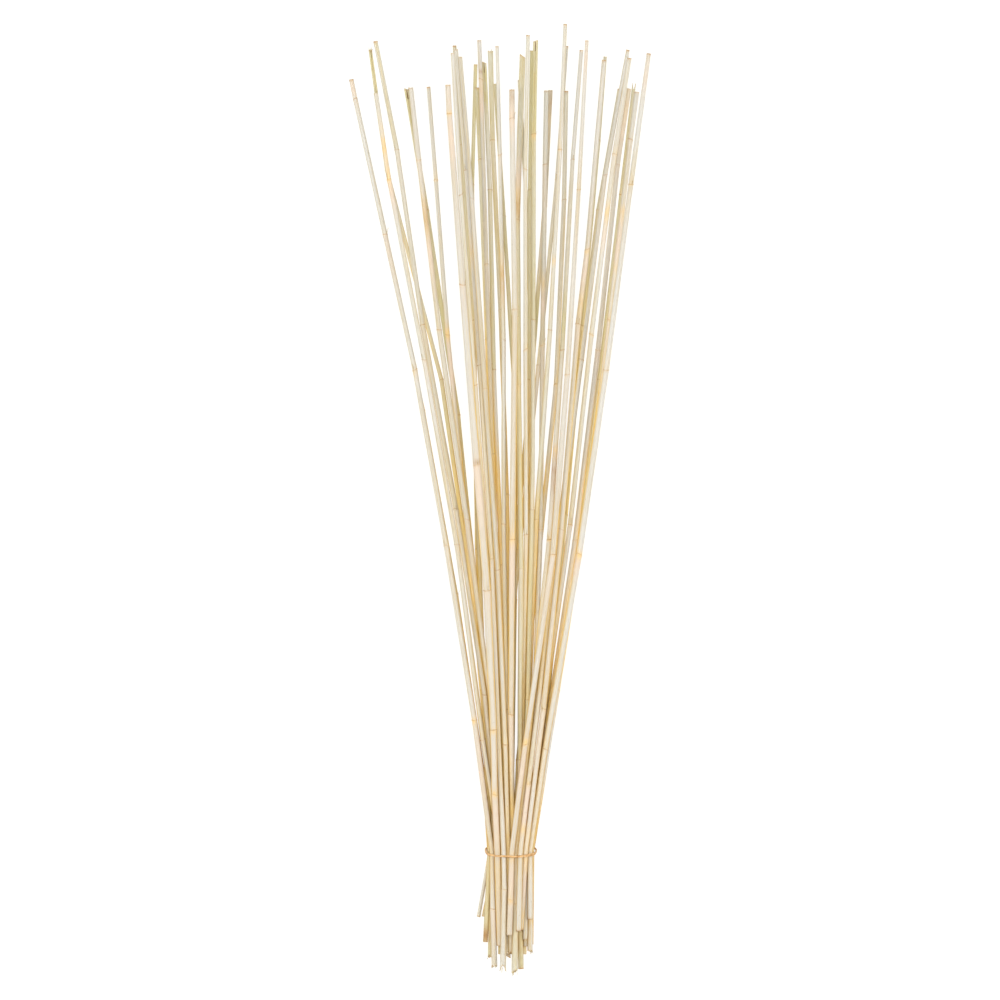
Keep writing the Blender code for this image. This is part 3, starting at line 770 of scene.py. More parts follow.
@dataclass
class Culm:
    """One reed: a hollow jointed culm that follows its solid's rings."""

    number: int
    look: ReedLook
    slot: Slot
    weathering_and_shade: WeatheringAndShade = WeatheringAndShade()
    seed: int = 500
    # The skin's radius as a share of the solid's, in the open fan and where the reeds are packed.
    fill: float = 0.99
    packed_fill: float = 1.01
    open_from: float = -120.0 * MM
    packed_from: float = -310.0 * MM
    # Internodes differ in thickness, and each swells and thins a little along its length.
    internode_spread: float = 0.028
    waves: Tuple[Tuple[float, float], ...] = ((0.016, 29.0 * MM), (0.012, 11.0 * MM))
    wall: float = 0.62 * MM
    least_bore: float = 0.38
    row_step: float = 8.0 * MM
    end_clear: float = 14.0 * MM
    node_clear: float = 11.0 * MM
    # At a node the culm swells, carries a fine leaning collar, and is pinched just past it, towards
    # the tip. The places, reaches and the lean are in millimetres.
    node_strength: Tuple[float, float] = (0.45, 1.0)
    swelling: float = 0.16 * MM
    swelling_reach: float = 5.0
    collar_rise: float = 0.26 * MM
    collar_reach: float = 0.55
    pinch: float = 0.12 * MM
    pinch_place: float = 1.6
    pinch_reach: float = 0.6
    collar_lean: Tuple[float, float] = (0.1, 1.3)
    lean_reach: float = 7.0
    # A culm turns a little at each node, to one side and then to the other.
    zigzag: float = 0.20 * MM
    flare: float = 0.14
    flare_reach: float = 14.0 * MM
    # Its middle line stays at least this many radii above the surface that it lies on.
    rest_height: float = 1.04
    hollow_depth: float = 11.0 * MM
    end_reach: float = 13.0 * MM
    end_sharpness: float = 1.5
    split_start: float = 1.3
    tangent_reach: float = 6.0 * MM
    rib_depth: float = 0.34 * MM
    rib_fineness: float = 2.6
    flatten: Tuple[float, float] = (0.01, 0.05)
    flat_turn: float = 0.4
    split_turn: float = 0.3
    # How far apart the reeds' noise patterns lie.
    pattern_step: float = 1.37

    # Rings near a node and near an end, in millimetres from it.
    NEAR_NODE = (-9.0, -6.0, -4.0, -2.6, -1.8, -1.2, -0.8, -0.45, -0.2, 0.0, 0.2, 0.45, 0.8, 1.2, 1.7, 2.3,
                 3.2, 5.0, 8.0)
    NEAR_END = (0.12, 0.5, 1.2, 2.4, 4.2, 7.0, 10.0)
    # How deep an end's tears and its fork reach.
    FRAY = {EndCut.CLEAN: 0.35 * MM, EndCut.RAGGED: 2.2 * MM, EndCut.FORKED: 1.2 * MM,
            EndCut.FLARED: 0.9 * MM}
    FORK = {EndCut.CLEAN: 0.0, EndCut.RAGGED: 0.0, EndCut.FORKED: 5.0 * MM, EndCut.FLARED: 0.0}

    def read_solid(self) -> Tuple[np.ndarray, np.ndarray, Dict[str, Tuple[float, float]]]:
        """Reads ring centres and radii from the reed's solid.

        Returns:
            Ring centres from butt to tip, their radii, and the slant and turn of both cuts.
        """
        mesh = frame["nodes"]["reed_%02d" % self.number].data
        points = np.unique(np.round([tuple(v.co) for v in mesh.vertices], 7), axis=0)
        points = points[np.argsort(points[:, 1], kind="stable")]
        sets = points.reshape(-1, SOLID_SIDES, 3)
        centres = sets.mean(axis=1)
        spokes = sets - centres[:, None, :]
        radii = np.hypot(spokes[:, :, 0], spokes[:, :, 2]).mean(axis=1)
        cuts = {}
        for end, ring, inner in (("tip", -1, -2), ("butt", 0, 1)):
            slant = float(np.ptp(sets[ring][:, 1]))
            far = sets[ring][:, 1].argmax() if end == "tip" else sets[ring][:, 1].argmin()
            cuts[end] = (slant, math.atan2(spokes[ring][far][2], spokes[ring][far][0]))
            run = centres[ring] - centres[inner]
            centres[ring] += run * (0.5 * slant / abs(run[1]))
        return centres, radii, cuts

    def build(self, loft: CulmLoft, material: bpy.types.Material, grid: np.ndarray,
              shade_shares: np.ndarray) -> bpy.types.Object:
        """Builds and dresses the reed.

        Args:
            loft: The tree that skins the rings.
            material: The culm's finish.
            grid: Places along Y where the shelter is known.
            shade_shares: Three rows of shares at those places that set the painted shade: covered, and close
                beside on the left and right.

        Returns:
            The finished piece.
        """
        chance = np.random.default_rng(self.seed + self.number)
        centres, radii, cuts = self.read_solid()
        crest = np.zeros(len(radii), bool)
        crest[1:-1] = (radii[1:-1] > radii[:-2] + NODE_STEP) & (radii[1:-1] > radii[2:] + NODE_STEP)
        joints = centres[crest][:, 1]
        low = centres[0][1]
        high = centres[-1][1]
        y = self.places(joints, low, high)
        radius = self.girth(y, joints, centres[~crest][:, 1], radii[~crest], high, chance)
        swing = np.concatenate([[0.0], self.zigzag * (-1.0) ** np.arange(len(joints)), [0.0]])
        x = np.interp(y, centres[:, 1], centres[:, 0]) + np.interp(y, np.r_[low, joints, high], swing)
        z = np.maximum(np.interp(y, centres[:, 1], centres[:, 2]), radius * self.rest_height)
        rings = self.mouth(low, 1.0, radius[0])[::-1]
        rings += [Ring(place, size) for place, size in zip(y, radius)]
        rings += self.mouth(high, -1.0, radius[-1])
        source = self.row_mesh(rings, np.stack([x, y, z], axis=1), joints, grid, shade_shares, chance)
        piece = plain_piece("reed_%02d_culm" % self.number, source, loft.tree, loft.ids,
                            self.settings(loft, cuts, chance, material))
        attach(piece, "root")
        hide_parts("reed_%02d" % self.number)
        return piece

    def places(self, joints: np.ndarray, low: float, high: float) -> np.ndarray:
        """Spreads the rings along the culm, close together at nodes and ends.

        Args:
            joints: Where the nodes are along Y.
            low: Y of the butt.
            high: Y of the tip.

        Returns:
            The rings' places along Y, butt to tip.
        """
        ends = np.array(self.NEAR_END) * MM
        spots = np.arange(low + self.end_clear, high - self.end_clear, self.row_step)
        for joint in joints:
            spots = spots[np.abs(spots - joint) > self.node_clear]
        close = [joint + np.array(self.NEAR_NODE) * MM for joint in joints]
        y = np.sort(np.concatenate([spots, low + ends, high - ends] + close))
        return y[(y >= low + ends[0]) & (y <= high - ends[0])]

    def girth(self, y: np.ndarray, joints: np.ndarray, known_y: np.ndarray, known: np.ndarray, high: float,
              chance: np.random.Generator) -> np.ndarray:
        """Works out the culm's radius at each ring.

        Args:
            y: The rings' places.
            joints: Where the nodes are.
            known_y: Places where the solid gives a radius.
            known: The solid's radii there.
            high: Y of the tip.
            chance: The reed's own seeded numbers.

        Returns:
            The radii.
        """
        packing = np.interp(y, (self.packed_from, self.open_from), (self.packed_fill, self.fill))
        radius = np.interp(y, known_y, known) * packing
        step = chance.uniform(-self.internode_spread, self.internode_spread, len(joints) + 1)
        radius *= 1.0 + step[np.searchsorted(joints, y)]
        starts = chance.uniform(0.0, TURN, len(self.waves))
        radius *= sum((rise * np.sin(y / run + start) for (rise, run), start in zip(self.waves, starts)), 1.0)
        gap = (y[:, None] - joints[None, :]) / MM
        share = chance.uniform(*self.node_strength, len(joints))
        radius += self.swelling * (share * bell(gap, self.swelling_reach)).sum(axis=1)
        radius += self.collar_rise * (share * bell(gap, self.collar_reach)).sum(axis=1)
        radius -= self.pinch * (share * bell(gap - self.pinch_place, self.pinch_reach)).sum(axis=1)
        if self.look.tip is EndCut.FLARED:
            radius *= 1.0 + self.flare * np.exp(-(high - y) / self.flare_reach)
        return radius

    def mouth(self, end: float, inward: float, radius: float) -> List[Ring]:
        """Makes the rings that turn over a cut's rim and run down the hollow to its joint.

        Args:
            end: Where the cut is along Y.
            inward: Direction from the cut into the reed.
            radius: The culm's radius at the cut.

        Returns:
            The rings, from the rim to the middle of the joint.
        """
        bore = max(radius - self.wall, self.least_bore * radius)
        deep = self.hollow_depth
        # The rim's two edges are rounded off by less than a tenth of a millimetre.
        rim = [Ring(end, radius - 0.07 * MM, cut=1.0), Ring(end, bore + 0.05 * MM, cut=1.0)]
        # Depth, radius, bare pith and painted shade of the rings down the bore.
        inner = ((0.12 * MM, bore, 0.7, 0.2), (1.2 * MM, bore, 0.4, 0.6), (0.45 * deep, bore, 0.2, 1.0),
                 (deep, bore * 0.96, 0.0, 1.0), (deep + 0.4 * MM, 0.0, 0.0, 1.0))
        return rim + [Ring(end + inward * depth, size, 1.0, cut, bore_shade) for depth, size, cut, bore_shade in inner]

    def row_mesh(self, rings: Sequence[Ring], axis: np.ndarray, joints: np.ndarray, grid: np.ndarray,
                 shade_shares: np.ndarray, chance: np.random.Generator) -> bpy.types.Mesh:
        """Stores the rings and their colour zones on a mesh of loose points.

        Args:
            rings: The rings in order.
            axis: The culm's middle line.
            joints: Where the nodes are along Y.
            grid: Places along Y where the shelter is known.
            shade_shares: How far other reeds cover this one, and stand close on its left and its right, which
                sets the painted shade.
            chance: The reed's own seeded numbers.

        Returns:
            A mesh with one point a ring.
        """
        y = np.array([ring.y for ring in rings])
        low = y.min()
        high = y.max()
        line, fore, back = (np.stack([np.interp(y + shift, axis[:, 1], axis[:, i]) for i in range(3)], axis=1)
                            for shift in (0.0, self.tangent_reach, -self.tangent_reach))
        line[:, 1] = y
        tangent = fore - back
        tangent /= np.linalg.norm(tangent, axis=1)[:, None]
        across = np.array([1.0, 0.0, 0.0]) - tangent * tangent[:, :1]
        across /= np.linalg.norm(across, axis=1)[:, None]

        gap = (y[:, None] - joints[None, :]) / MM
        nearest = np.argmin(np.abs(gap), axis=1)
        lean = chance.uniform(*self.collar_lean, len(joints)) * MM
        lean_turn = chance.uniform(0.0, TURN, len(joints))
        zones, wear_and_shade, tone = self.weathering_and_shade.growth(self.look, y, gap, joints, chance)
        shares = self.weathering_and_shade.bleaching_and_shade(self.number, y, tone, [np.interp(y, grid, row) for row in shade_shares])
        split = np.clip(self.split_start - (high - y) / (self.look.split_run_mm * MM), 0.0, 1.0)
        numbers = {
            "radius": np.array([ring.radius for ring in rings]),
            "along": y - low,
            "inside": np.array([ring.inside for ring in rings]),
            "split": split * (self.look.split_mm > 0.0),
            "tip_share": np.clip(1.0 - (high - y) / self.end_reach, 0.0, 1.0) ** self.end_sharpness,
            "butt_share": np.clip(1.0 - (y - low) / self.end_reach, 0.0, 1.0) ** self.end_sharpness,
            "collar_lean": lean[nearest] * bell(np.abs(gap).min(axis=1), self.lean_reach),
            "collar_turn": lean_turn[nearest],
            "packed_shade": shares["packed_shade"],
            "left_shade": shares["left_shade"],
            "right_shade": shares["right_shade"],
        }
        cut = np.array([ring.cut for ring in rings])
        bore_shade = np.array([ring.bore_shade for ring in rings])
        vectors = {
            "tangent": tangent,
            "across": across,
            "upward": np.cross(across, tangent),
            "zones": zones,
            "shade": np.stack([shares["tone"], cut, bore_shade], axis=1),
            "wear_and_shade": np.stack([shares["shade_gold"], wear_and_shade[:, 0], wear_and_shade[:, 1]], axis=1),
        }
        mesh = bpy.data.meshes.new("rings")
        mesh.from_pydata(line.tolist(), [], [])
        for kind, key, layers in (("FLOAT", "value", numbers), ("FLOAT_VECTOR", "vector", vectors)):
            for name, values in layers.items():
                layer = mesh.attributes.new(name, kind, "POINT")
                layer.data.foreach_set(key, values.astype(np.float32).ravel())
        return mesh

    def settings(self, loft: CulmLoft, cuts: Dict[str, Tuple[float, float]], chance: np.random.Generator,
                 material: bpy.types.Material) -> Dict[str, Any]:
        """Chooses the tree's inputs for this reed.

        Args:
            loft: The tree that skins the rings.
            cuts: Slant and turn of both cuts.
            chance: The reed's own seeded numbers.
            material: The culm's finish.

        Returns:
            Input name to value.
        """
        look = self.look
        return {
            "Sides": loft.sides,
            "Rib Depth": self.rib_depth,
            "Rib Count": self.rib_fineness,
            "Flatten": float(chance.uniform(*self.flatten)),
            "Flat Turn": float(chance.uniform(-self.flat_turn, self.flat_turn)),
            "Split Depth": look.split_mm * MM,
            "Split Turn": 0.25 * TURN + float(chance.uniform(-self.split_turn, self.split_turn)),
            "Tip Slant": cuts["tip"][0],
            "Tip Turn": cuts["tip"][1],
            "Tip Fray": self.FRAY[look.tip],
            "Tip Fork": self.FORK[look.tip],
            "Butt Slant": cuts["butt"][0],
            "Butt Turn": cuts["butt"][1],
            "Butt Fray": self.FRAY[look.butt],
            "Butt Fork": self.FORK[look.butt],
            "Seed": self.pattern_step * self.number,
            "Material": material,
        }


@dataclass
class TieBand:
    """The thin elastic band, wound twice round the bunch, its two turns lying loosely side by side."""

    thickness: float = 1.60 * MM
    flatness: float = 0.82
    # The two turns run closer and wider a few times round, and each wanders a little on its own.
    spacing: float = 1.25 * MM
    parting: float = 0.38
    partings: float = 3.0
    wander: float = 0.22 * MM
    wanders: float = 5.0
    twist: float = 7.0
    twists_per_metre: float = 75.0
    bump: float = 0.20 * MM
    bumps_per_metre: float = 420.0
    seed: float = 4.0
    points: int = 160
    profile_sides: int = 14

    def middle_line(self) -> np.ndarray:
        """Reads the ring's middle line from the band's solid.

        Returns:
            Evenly spread points along the closed ring.
        """
        mesh = frame["nodes"]["tie_band"].data
        spots = np.unique(np.round([tuple(v.co) for v in mesh.vertices], 7), axis=0)
        middle = 0.5 * (spots.min(axis=0) + spots.max(axis=0))
        angle = np.arctan2(spots[:, 2] - middle[2], spots[:, 0] - middle[0])
        groups = spots[np.argsort(angle)].reshape(-1, SOLID_SIDES, 3).mean(axis=1)
        ring = np.vstack([groups, groups[:1]])
        gone = np.concatenate([[0.0], np.cumsum(np.linalg.norm(np.diff(ring, axis=0), axis=1))])
        even = np.linspace(0.0, gone[-1], self.points, endpoint=False)
        return np.stack([np.interp(even, gone, ring[:, i]) for i in range(3)], axis=1)

    def turns(self) -> bpy.types.Mesh:
        """Lays the band's two turns on the ring.

        Returns:
            A mesh of two closed loops of edges.
        """
        line = self.middle_line()
        around = np.linspace(0.0, TURN, self.points, endpoint=False)
        count = self.points
        spots: List[List[float]] = []
        edges: List[Tuple[int, int]] = []
        for turn, side in ((0, -0.5), (1, 0.5)):
            loop = line.copy()
            apart = 1.0 - self.parting + self.parting * np.cos(self.partings * around + 0.8)
            loop[:, 1] += side * self.spacing * apart
            loop[:, 1] += self.wander * np.sin(self.wanders * around + 2.0 * turn)
            edges += [(len(spots) + i, len(spots) + (i + 1) % count) for i in range(count)]
            spots += loop.tolist()
        mesh = bpy.data.meshes.new("band_path")
        mesh.from_pydata(spots, edges, [])
        return mesh

    def sweep(self) -> Tuple[bpy.types.NodeTree, Dict[str, str]]:
        """Builds the Geometry Nodes tree that sweeps the band.

        Returns:
            The tree and its inputs' identifiers by name.
        """
        tree, ids, given = open_tree("band_sweep", ("Thickness", "Flatness", "Twist", "Bump", "Seed"))
        path = add_node(tree, "GeometryNodeMeshToCurve", (given["Geometry"],))
        place = add_node(tree, "GeometryNodeInputPosition")
        wave, lump = (add_node(tree, NOISE, {"Vector": place, "W": given["Seed"], "Scale": scale,
                                             "Detail": detail}, noise_dimensions="4D")
                      for scale, detail in ((self.twists_per_metre, 1.0), (self.bumps_per_metre, 2.0)))
        tilt = add_node(tree, MATH, (wave, 0.5), operation="SUBTRACT")
        tilt = add_node(tree, MATH, (tilt, given["Twist"]), operation="MULTIPLY")
        path = add_node(tree, "GeometryNodeSetCurveTilt", {"Curve": path, "Tilt": tilt})
        ring = add_node(tree, "GeometryNodeCurvePrimitiveCircle",
                        {"Resolution": self.profile_sides, "Radius": 0.5}, mode="RADIUS")
        thin = add_node(tree, MATH, (given["Thickness"], given["Flatness"]), operation="MULTIPLY")
        size = add_node(tree, COMBINE, (given["Thickness"], thin, 1.0))
        ring = add_node(tree, "GeometryNodeTransform", {"Geometry": ring, "Scale": size})
        body = add_node(tree, "GeometryNodeCurveToMesh", {"Curve": path, "Profile Curve": ring})
        lift = add_node(tree, MATH, (lump, 0.5), operation="SUBTRACT")
        lift = add_node(tree, MATH, (lift, given["Bump"]), operation="MULTIPLY")
        move = add_node(tree, VECTOR_MATH, {0: add_node(tree, "GeometryNodeInputNormal"), "Scale": lift},
                        operation="SCALE")
        body = add_node(tree, "GeometryNodeSetPosition", {"Geometry": body, "Offset": move})
        # Nothing of the band goes below the surface that the bunch lies on.
        rest = add_node(tree, VECTOR_MATH, (place, (-1.0, -1.0, 0.0)), operation="MAXIMUM")
        body = add_node(tree, "GeometryNodeSetPosition", {"Geometry": body, "Position": rest})
        close_tree(tree, body, given["Material"])
        return tree, ids

    def build(self) -> bpy.types.Object:
        """Builds and dresses the band.

        Returns:
            The finished piece.
        """
        tree, ids = self.sweep()
        piece = plain_piece("tie_band_rubber", self.turns(), tree, ids,
                            {"Thickness": self.thickness, "Flatness": self.flatness, "Twist": self.twist,
                             "Bump": self.bump, "Seed": self.seed, "Material": BandFinish().material()})
        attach(piece, "root")
        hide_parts("tie_band")
        return piece


@dataclass(frozen=True)
class SheathFinish:
    """Dried leaf sheath: papery shreds left at the nodes, never coated.

    They give the eye thin straw-coloured curls that are darker where they are torn.
    """

    face: str = "CDBF93"
    torn: str = "A98550"
    roughness: float = 0.62
    specular: float = 0.25
    # Clouds about 3 mm across: part of a shred is straw, part is browned.
    clouds_per_metre: float = 330.0

    def material(self) -> bpy.types.Material:
        """Builds the sheath's material.

        Returns:
            The finished material.
        """
        made, surface = open_material("dried_leaf_sheath", {
            "Roughness": self.roughness, "Specular IOR Level": self.specular})
        tree = made.node_tree
        place = add_node(tree, "ShaderNodeTexCoord").outputs["Object"]
        cloud = add_node(tree, NOISE, {"Vector": place, "Scale": self.clouds_per_metre, "Detail": 3.0,
                                       "Roughness": 0.6})
        share = add_node(tree, MAP_RANGE, (cloud, 0.42, 0.64, 0.0, 1.0), clamp=True)
        colour = add_node(tree, MIX, {0: share, 6: linear(self.face), 7: linear(self.torn)},
                          data_type="RGBA").outputs[2]
        tree.links.new(colour, surface.inputs["Base Color"])
        return made


@dataclass
class SheathShreds:
    """Thin curled shreds of leaf sheath and torn fibre, at nodes and at broken ends."""

    width: float = 0.62 * MM
    flatness: float = 0.30
    curl: float = 0.16
    node_share: float = 0.34
    lean_degrees: Tuple[float, float] = (3.0, 13.0)
    node_length: Tuple[float, float] = (3.0 * MM, 8.0 * MM)
    end_length: Tuple[float, float] = (3.6 * MM, 5.6 * MM)
    end_root: float = 4.0 * MM
    end_count: int = 3
    highest_root: float = 80.0 * MM
    # Shreds grow on the upper side, from just under the skin.
    upper_side: Tuple[float, float] = (0.12, 0.88)
    rooting: float = 0.97
    seed: int = 77

    def roots(self, culms: Sequence[Culm]) -> List[Tuple[Vector, Vector, float]]:
        """Chooses where the shreds grow.

        Args:
            culms: All the reeds.

        Returns:
            Each shred's root, its rotation as Euler angles, and its length.
        """
        chance = np.random.default_rng(self.seed)
        found: List[Tuple[Vector, Vector, float]] = []
        for culm in culms:
            centres, radii, _ = culm.read_solid()
            spots = [(row, 1.0, self.node_length, 0.0) for row in range(1, len(radii) - 1)
                     if radii[row] > max(radii[row - 1], radii[row + 1]) + NODE_STEP
                     and chance.uniform() < self.node_share]
            for cut, row, ahead in ((culm.look.tip, len(radii) - 1, 1.0), (culm.look.butt, 0, -1.0)):
                if cut is not EndCut.CLEAN:
                    spots += [(row, ahead, self.end_length, self.end_root)] * self.end_count
            for row, ahead, lengths, back in spots:
                if centres[row][2] > self.highest_root:
                    continue
                angle = chance.uniform(*self.upper_side) * math.pi
                outward = Vector((math.cos(angle), 0.0, math.sin(angle)))
                lean = math.radians(chance.uniform(*self.lean_degrees))
                heading = (outward * math.sin(lean) + Vector((0.0, ahead * math.cos(lean), 0.0))).normalized()
                upward = (outward - heading * outward.dot(heading)).normalized()
                turned = Matrix((heading.cross(upward), heading, upward)).transposed().to_euler()
                place = centres[row][1] - ahead * back
                middle = [np.interp(place, centres[:, 1], centres[:, axis]) for axis in range(3)]
                root = Vector(middle) + outward * (radii[row] * self.rooting)
                found.append((root, Vector(turned), float(chance.uniform(*lengths))))
        return found

    def growth(self) -> Tuple[bpy.types.NodeTree, Dict[str, str]]:
        """Builds the Geometry Nodes tree that sets one curled shred on every root.

        Returns:
            The tree and its inputs' identifiers by name.
        """
        tree, ids, given = open_tree("sheath_growth", ("Width", "Flatness", "Curl"))
        rise = add_node(tree, COMBINE, (0.0, 1.0, given["Curl"]))
        path = add_node(tree, "GeometryNodeCurveQuadraticBezier",
                        {"Resolution": 6, "Start": (0.0, 0.0, 0.0), "Middle": (0.0, 0.55, 0.0), "End": rise})
        gone = add_node(tree, "GeometryNodeSplineParameter").outputs["Factor"]
        taper = add_node(tree, MAP_RANGE, (gone, 0.0, 1.0, 1.0, 0.12), clamp=True)
        path = add_node(tree, "GeometryNodeSetCurveRadius", {"Curve": path, "Radius": taper})
        ring = add_node(tree, "GeometryNodeCurvePrimitiveCircle", {"Resolution": 5, "Radius": 0.5},
                        mode="RADIUS")
        thin = add_node(tree, MATH, (given["Width"], given["Flatness"]), operation="MULTIPLY")
        size = add_node(tree, COMBINE, (given["Width"], thin, 1.0))
        ring = add_node(tree, "GeometryNodeTransform", {"Geometry": ring, "Scale": size})
        shred = add_node(tree, "GeometryNodeCurveToMesh",
                         {"Curve": path, "Profile Curve": ring, "Fill Caps": True})
        turned = add_node(tree, NAMED, {"Name": "turned"}, data_type="FLOAT_VECTOR")
        length = add_node(tree, NAMED, {"Name": "length"}, data_type="FLOAT")
        size = add_node(tree, COMBINE, (1.0, length, length))
        body = add_node(tree, "GeometryNodeInstanceOnPoints",
                        {"Points": given["Geometry"], "Instance": shred, "Rotation": turned, "Scale": size})
        close_tree(tree, body, given["Material"])
        return tree, ids

    def build(self, culms: Sequence[Culm]) -> bpy.types.Object:
        """Builds and dresses the shreds.

        Args:
            culms: All the reeds.

        Returns:
            The finished piece.
        """
        found = self.roots(culms)
        mesh = bpy.data.meshes.new("shred_roots")
        mesh.from_pydata([tuple(root) for root, _, _ in found], [], [])
        turned = mesh.attributes.new("turned", "FLOAT_VECTOR", "POINT")
        turned.data.foreach_set("vector", [angle for _, turn, _ in found for angle in turn])
        length = mesh.attributes.new("length", "FLOAT", "POINT")
        length.data.foreach_set("value", [size for _, _, size in found])
        tree, ids = self.growth()
        piece = plain_piece("sheath_shreds", mesh, tree, ids,
                            {"Width": self.width, "Flatness": self.flatness, "Curl": self.curl,
                             "Material": SheathFinish().material()})
        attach(piece, "root")
        return piece


@dataclass
class Bunch:
    """All the reeds, and how far each lies under the others."""

    looks: Dict[int, ReedLook] = field(default_factory=dict)
    count: int = 42
    half_length: float = 0.48
    grid_step: float = 10.0 * MM
    # How near another reed has to be to put painted shade on this one, and how much higher it has to be to
    # cover it.
    reach: float = 8.0 * MM
    cover_rise: float = 1.5 * MM
    # A reed further below than this puts less painted shade on it, and least where it lies right underneath.
    beside_drop: float = 3.0 * MM
    lower_share: float = 0.45
    lower_reach: float = 4.0 * MM
    side_blend: float = 6.0 * MM
    cover_strength: float = 0.8
    side_strength: float = 2.0

    def finishes(self) -> Dict[Slot, bpy.types.Material]:
        """Builds the three culm finishes.

        Returns:
            Slot to material.
        """
        ranges = (CulmFinish(Slot.IVORY, "C6C3BB", "C3B9A1", "C0AF88"),
                  CulmFinish(Slot.STRAW, "C4C0B0", "C1B38C", "BAA978"),
                  CulmFinish(Slot.BLUSH, "C6C1B7", "C2B59F", "C0AF8A"))
        return {finish.slot: finish.material() for finish in ranges}

    def shade_shares(self, culms: Sequence[Culm]) -> Tuple[np.ndarray, np.ndarray]:
        """Works out how far each reed is covered from above, and how close others stand beside it, which sets
        its painted shade.

        Args:
            culms: All the reeds.

        Returns:
            Places along Y, and for each reed three rows of shares: covered, left and right.
        """
        grid = np.arange(-self.half_length, self.half_length, self.grid_step)
        x = np.full((len(culms), len(grid)), np.nan)
        z = np.full((len(culms), len(grid)), np.nan)
        for row, culm in enumerate(culms):
            centres, _, _ = culm.read_solid()
            held = (grid >= centres[0][1]) & (grid <= centres[-1][1])
            x[row, held] = np.interp(grid[held], centres[:, 1], centres[:, 0])
            z[row, held] = np.interp(grid[held], centres[:, 1], centres[:, 2])
        away = x[None, :, :] - x[:, None, :]
        near = np.nan_to_num(np.clip(1.0 - np.abs(away) / self.reach, 0.0, 1.0))
        near *= 1.0 - np.eye(len(culms))[:, :, None]
        covered = np.where(z[None, :, :] > z[:, None, :] + self.cover_rise, near, 0.0)
        apart = np.nan_to_num(np.clip(np.abs(away) / self.lower_reach, 0.0, 1.0))
        lower = self.lower_share * near * apart
        beside = np.where(z[None, :, :] > z[:, None, :] - self.beside_drop, near, lower)
        right = np.nan_to_num(np.clip(0.5 + away / self.side_blend, 0.0, 1.0))
        shares = [covered * self.cover_strength, beside * (1.0 - right) * self.side_strength,
                  beside * right * self.side_strength]
        return grid, np.clip(np.stack([share.sum(axis=1) for share in shares], axis=1), 0.0, 1.0)

    def build(self) -> None:
        """Builds every reed and the shreds, and reports each."""
        slots = {row["node"]: Slot(row["material_slot"]) for row in frame["record"]["subparts"]}
        materials = self.finishes()
        loft = CulmLoft()
        loft.build()
        culms = [Culm(number, self.looks.get(number, ReedLook()), slots["reed_%02d" % number])
                 for number in range(1, self.count + 1)]
        grid, shade_shares = self.shade_shares(culms)
        for row, culm in enumerate(culms):
            report(culm.build(loft, materials[culm.slot], grid, shade_shares[row]))
        report(SheathShreds().build(culms))


@dataclass
class Studio:
    """White table, soft light and the camera above the lying bunch."""

    lens: float = 600.0
    sensor: float = 36.0
    focus_height: float = 35.0 * MM
    clip_start: float = 0.1
    floor_size: float = 16.0
    floor_colour: str = "74736F"
    floor_glow_colour: str = "FBFAF7"
    floor_glow: float = 0.92
    floor_roughness: float = 0.9
    floor_specular: float = 0.1
    sky_strength: float = 0.57
    key_power: float = 134.0
    key_size: float = 0.7
    key_place: Tuple[float, float, float] = (-0.07, 0.05, 5.0)
    side_power: float = 62.0
    side_size: float = 2.4
    side_reach: float = 3.1
    side_height: float = 2.4

    def build(self) -> None:
        """Builds the floor, the lights and the camera."""
        self.lay_floor()
        self.hang_lights()
        self.hang_camera()

    def lay_floor(self) -> None:
        """Lays a matt shooting table, white because it is lit from beneath, under the bunch."""
        half = 0.5 * self.floor_size
        mesh = bpy.data.meshes.new("studio_floor")
        corners = [(-half, -half, 0.0), (half, -half, 0.0), (half, half, 0.0), (-half, half, 0.0)]
        mesh.from_pydata(corners, [], [(0, 1, 2, 3)])
        # Opal acrylic over lamps: it keeps the gaps between the reeds white and lights their flanks.
        acrylic, _ = open_material("opal_acrylic_table", {
            "Base Color": linear(self.floor_colour), "Roughness": self.floor_roughness,
            "Specular IOR Level": self.floor_specular, "Emission Color": linear(self.floor_glow_colour),
            "Emission Strength": self.floor_glow})
        mesh.materials.append(acrylic)
        sheet = bpy.data.objects.new("studio_floor", mesh)
        bpy.context.scene.collection.objects.link(sheet)

    def hang_lights(self) -> None:
        """Sets an even white surround, one softbox overhead and one on each side."""
        world = bpy.data.worlds.new("soft_surround")
        world.use_nodes = True
        back = world.node_tree.nodes["Background"]
        back.inputs["Color"].default_value = (1.0, 1.0, 1.0, 1.0)
        back.inputs["Strength"].default_value = self.sky_strength
        bpy.context.scene.world = world
        boxes = (("overhead_softbox", self.key_place, self.key_size, self.key_power),
                 ("left_softbox", (-self.side_reach, 0.0, self.side_height), self.side_size, self.side_power),
                 ("right_softbox", (self.side_reach, 0.0, self.side_height), self.side_size, self.side_power))
        for name, place, size, power in boxes:
            lamp = bpy.data.lights.new(name, "AREA")
            lamp.shape = "SQUARE"
            lamp.size = size
            lamp.energy = power
            holder = bpy.data.objects.new(name, lamp)
            holder.location = place
            holder.rotation_euler = (-Vector(place)).to_track_quat("-Z", "Y").to_euler()
            bpy.context.scene.collection.objects.link(holder)
        bpy.context.scene.view_settings.view_transform = "Standard"

    def hang_camera(self) -> None:
        """Hangs the camera straight above, the reeds' tips at the top of the picture."""
        eye = bpy.data.cameras.new("overhead_camera")
        eye.lens = self.lens
        eye.sensor_width = self.sensor
        distance = PICTURE_WIDTH * self.lens / self.sensor
        eye.clip_start = self.clip_start
        eye.clip_end = 2.0 * distance
        holder = bpy.data.objects.new("overhead_camera", eye)
        holder.location = (0.0, 0.0, self.focus_height + distance)
        bpy.context.scene.collection.objects.link(holder)
        bpy.context.scene.camera = holder


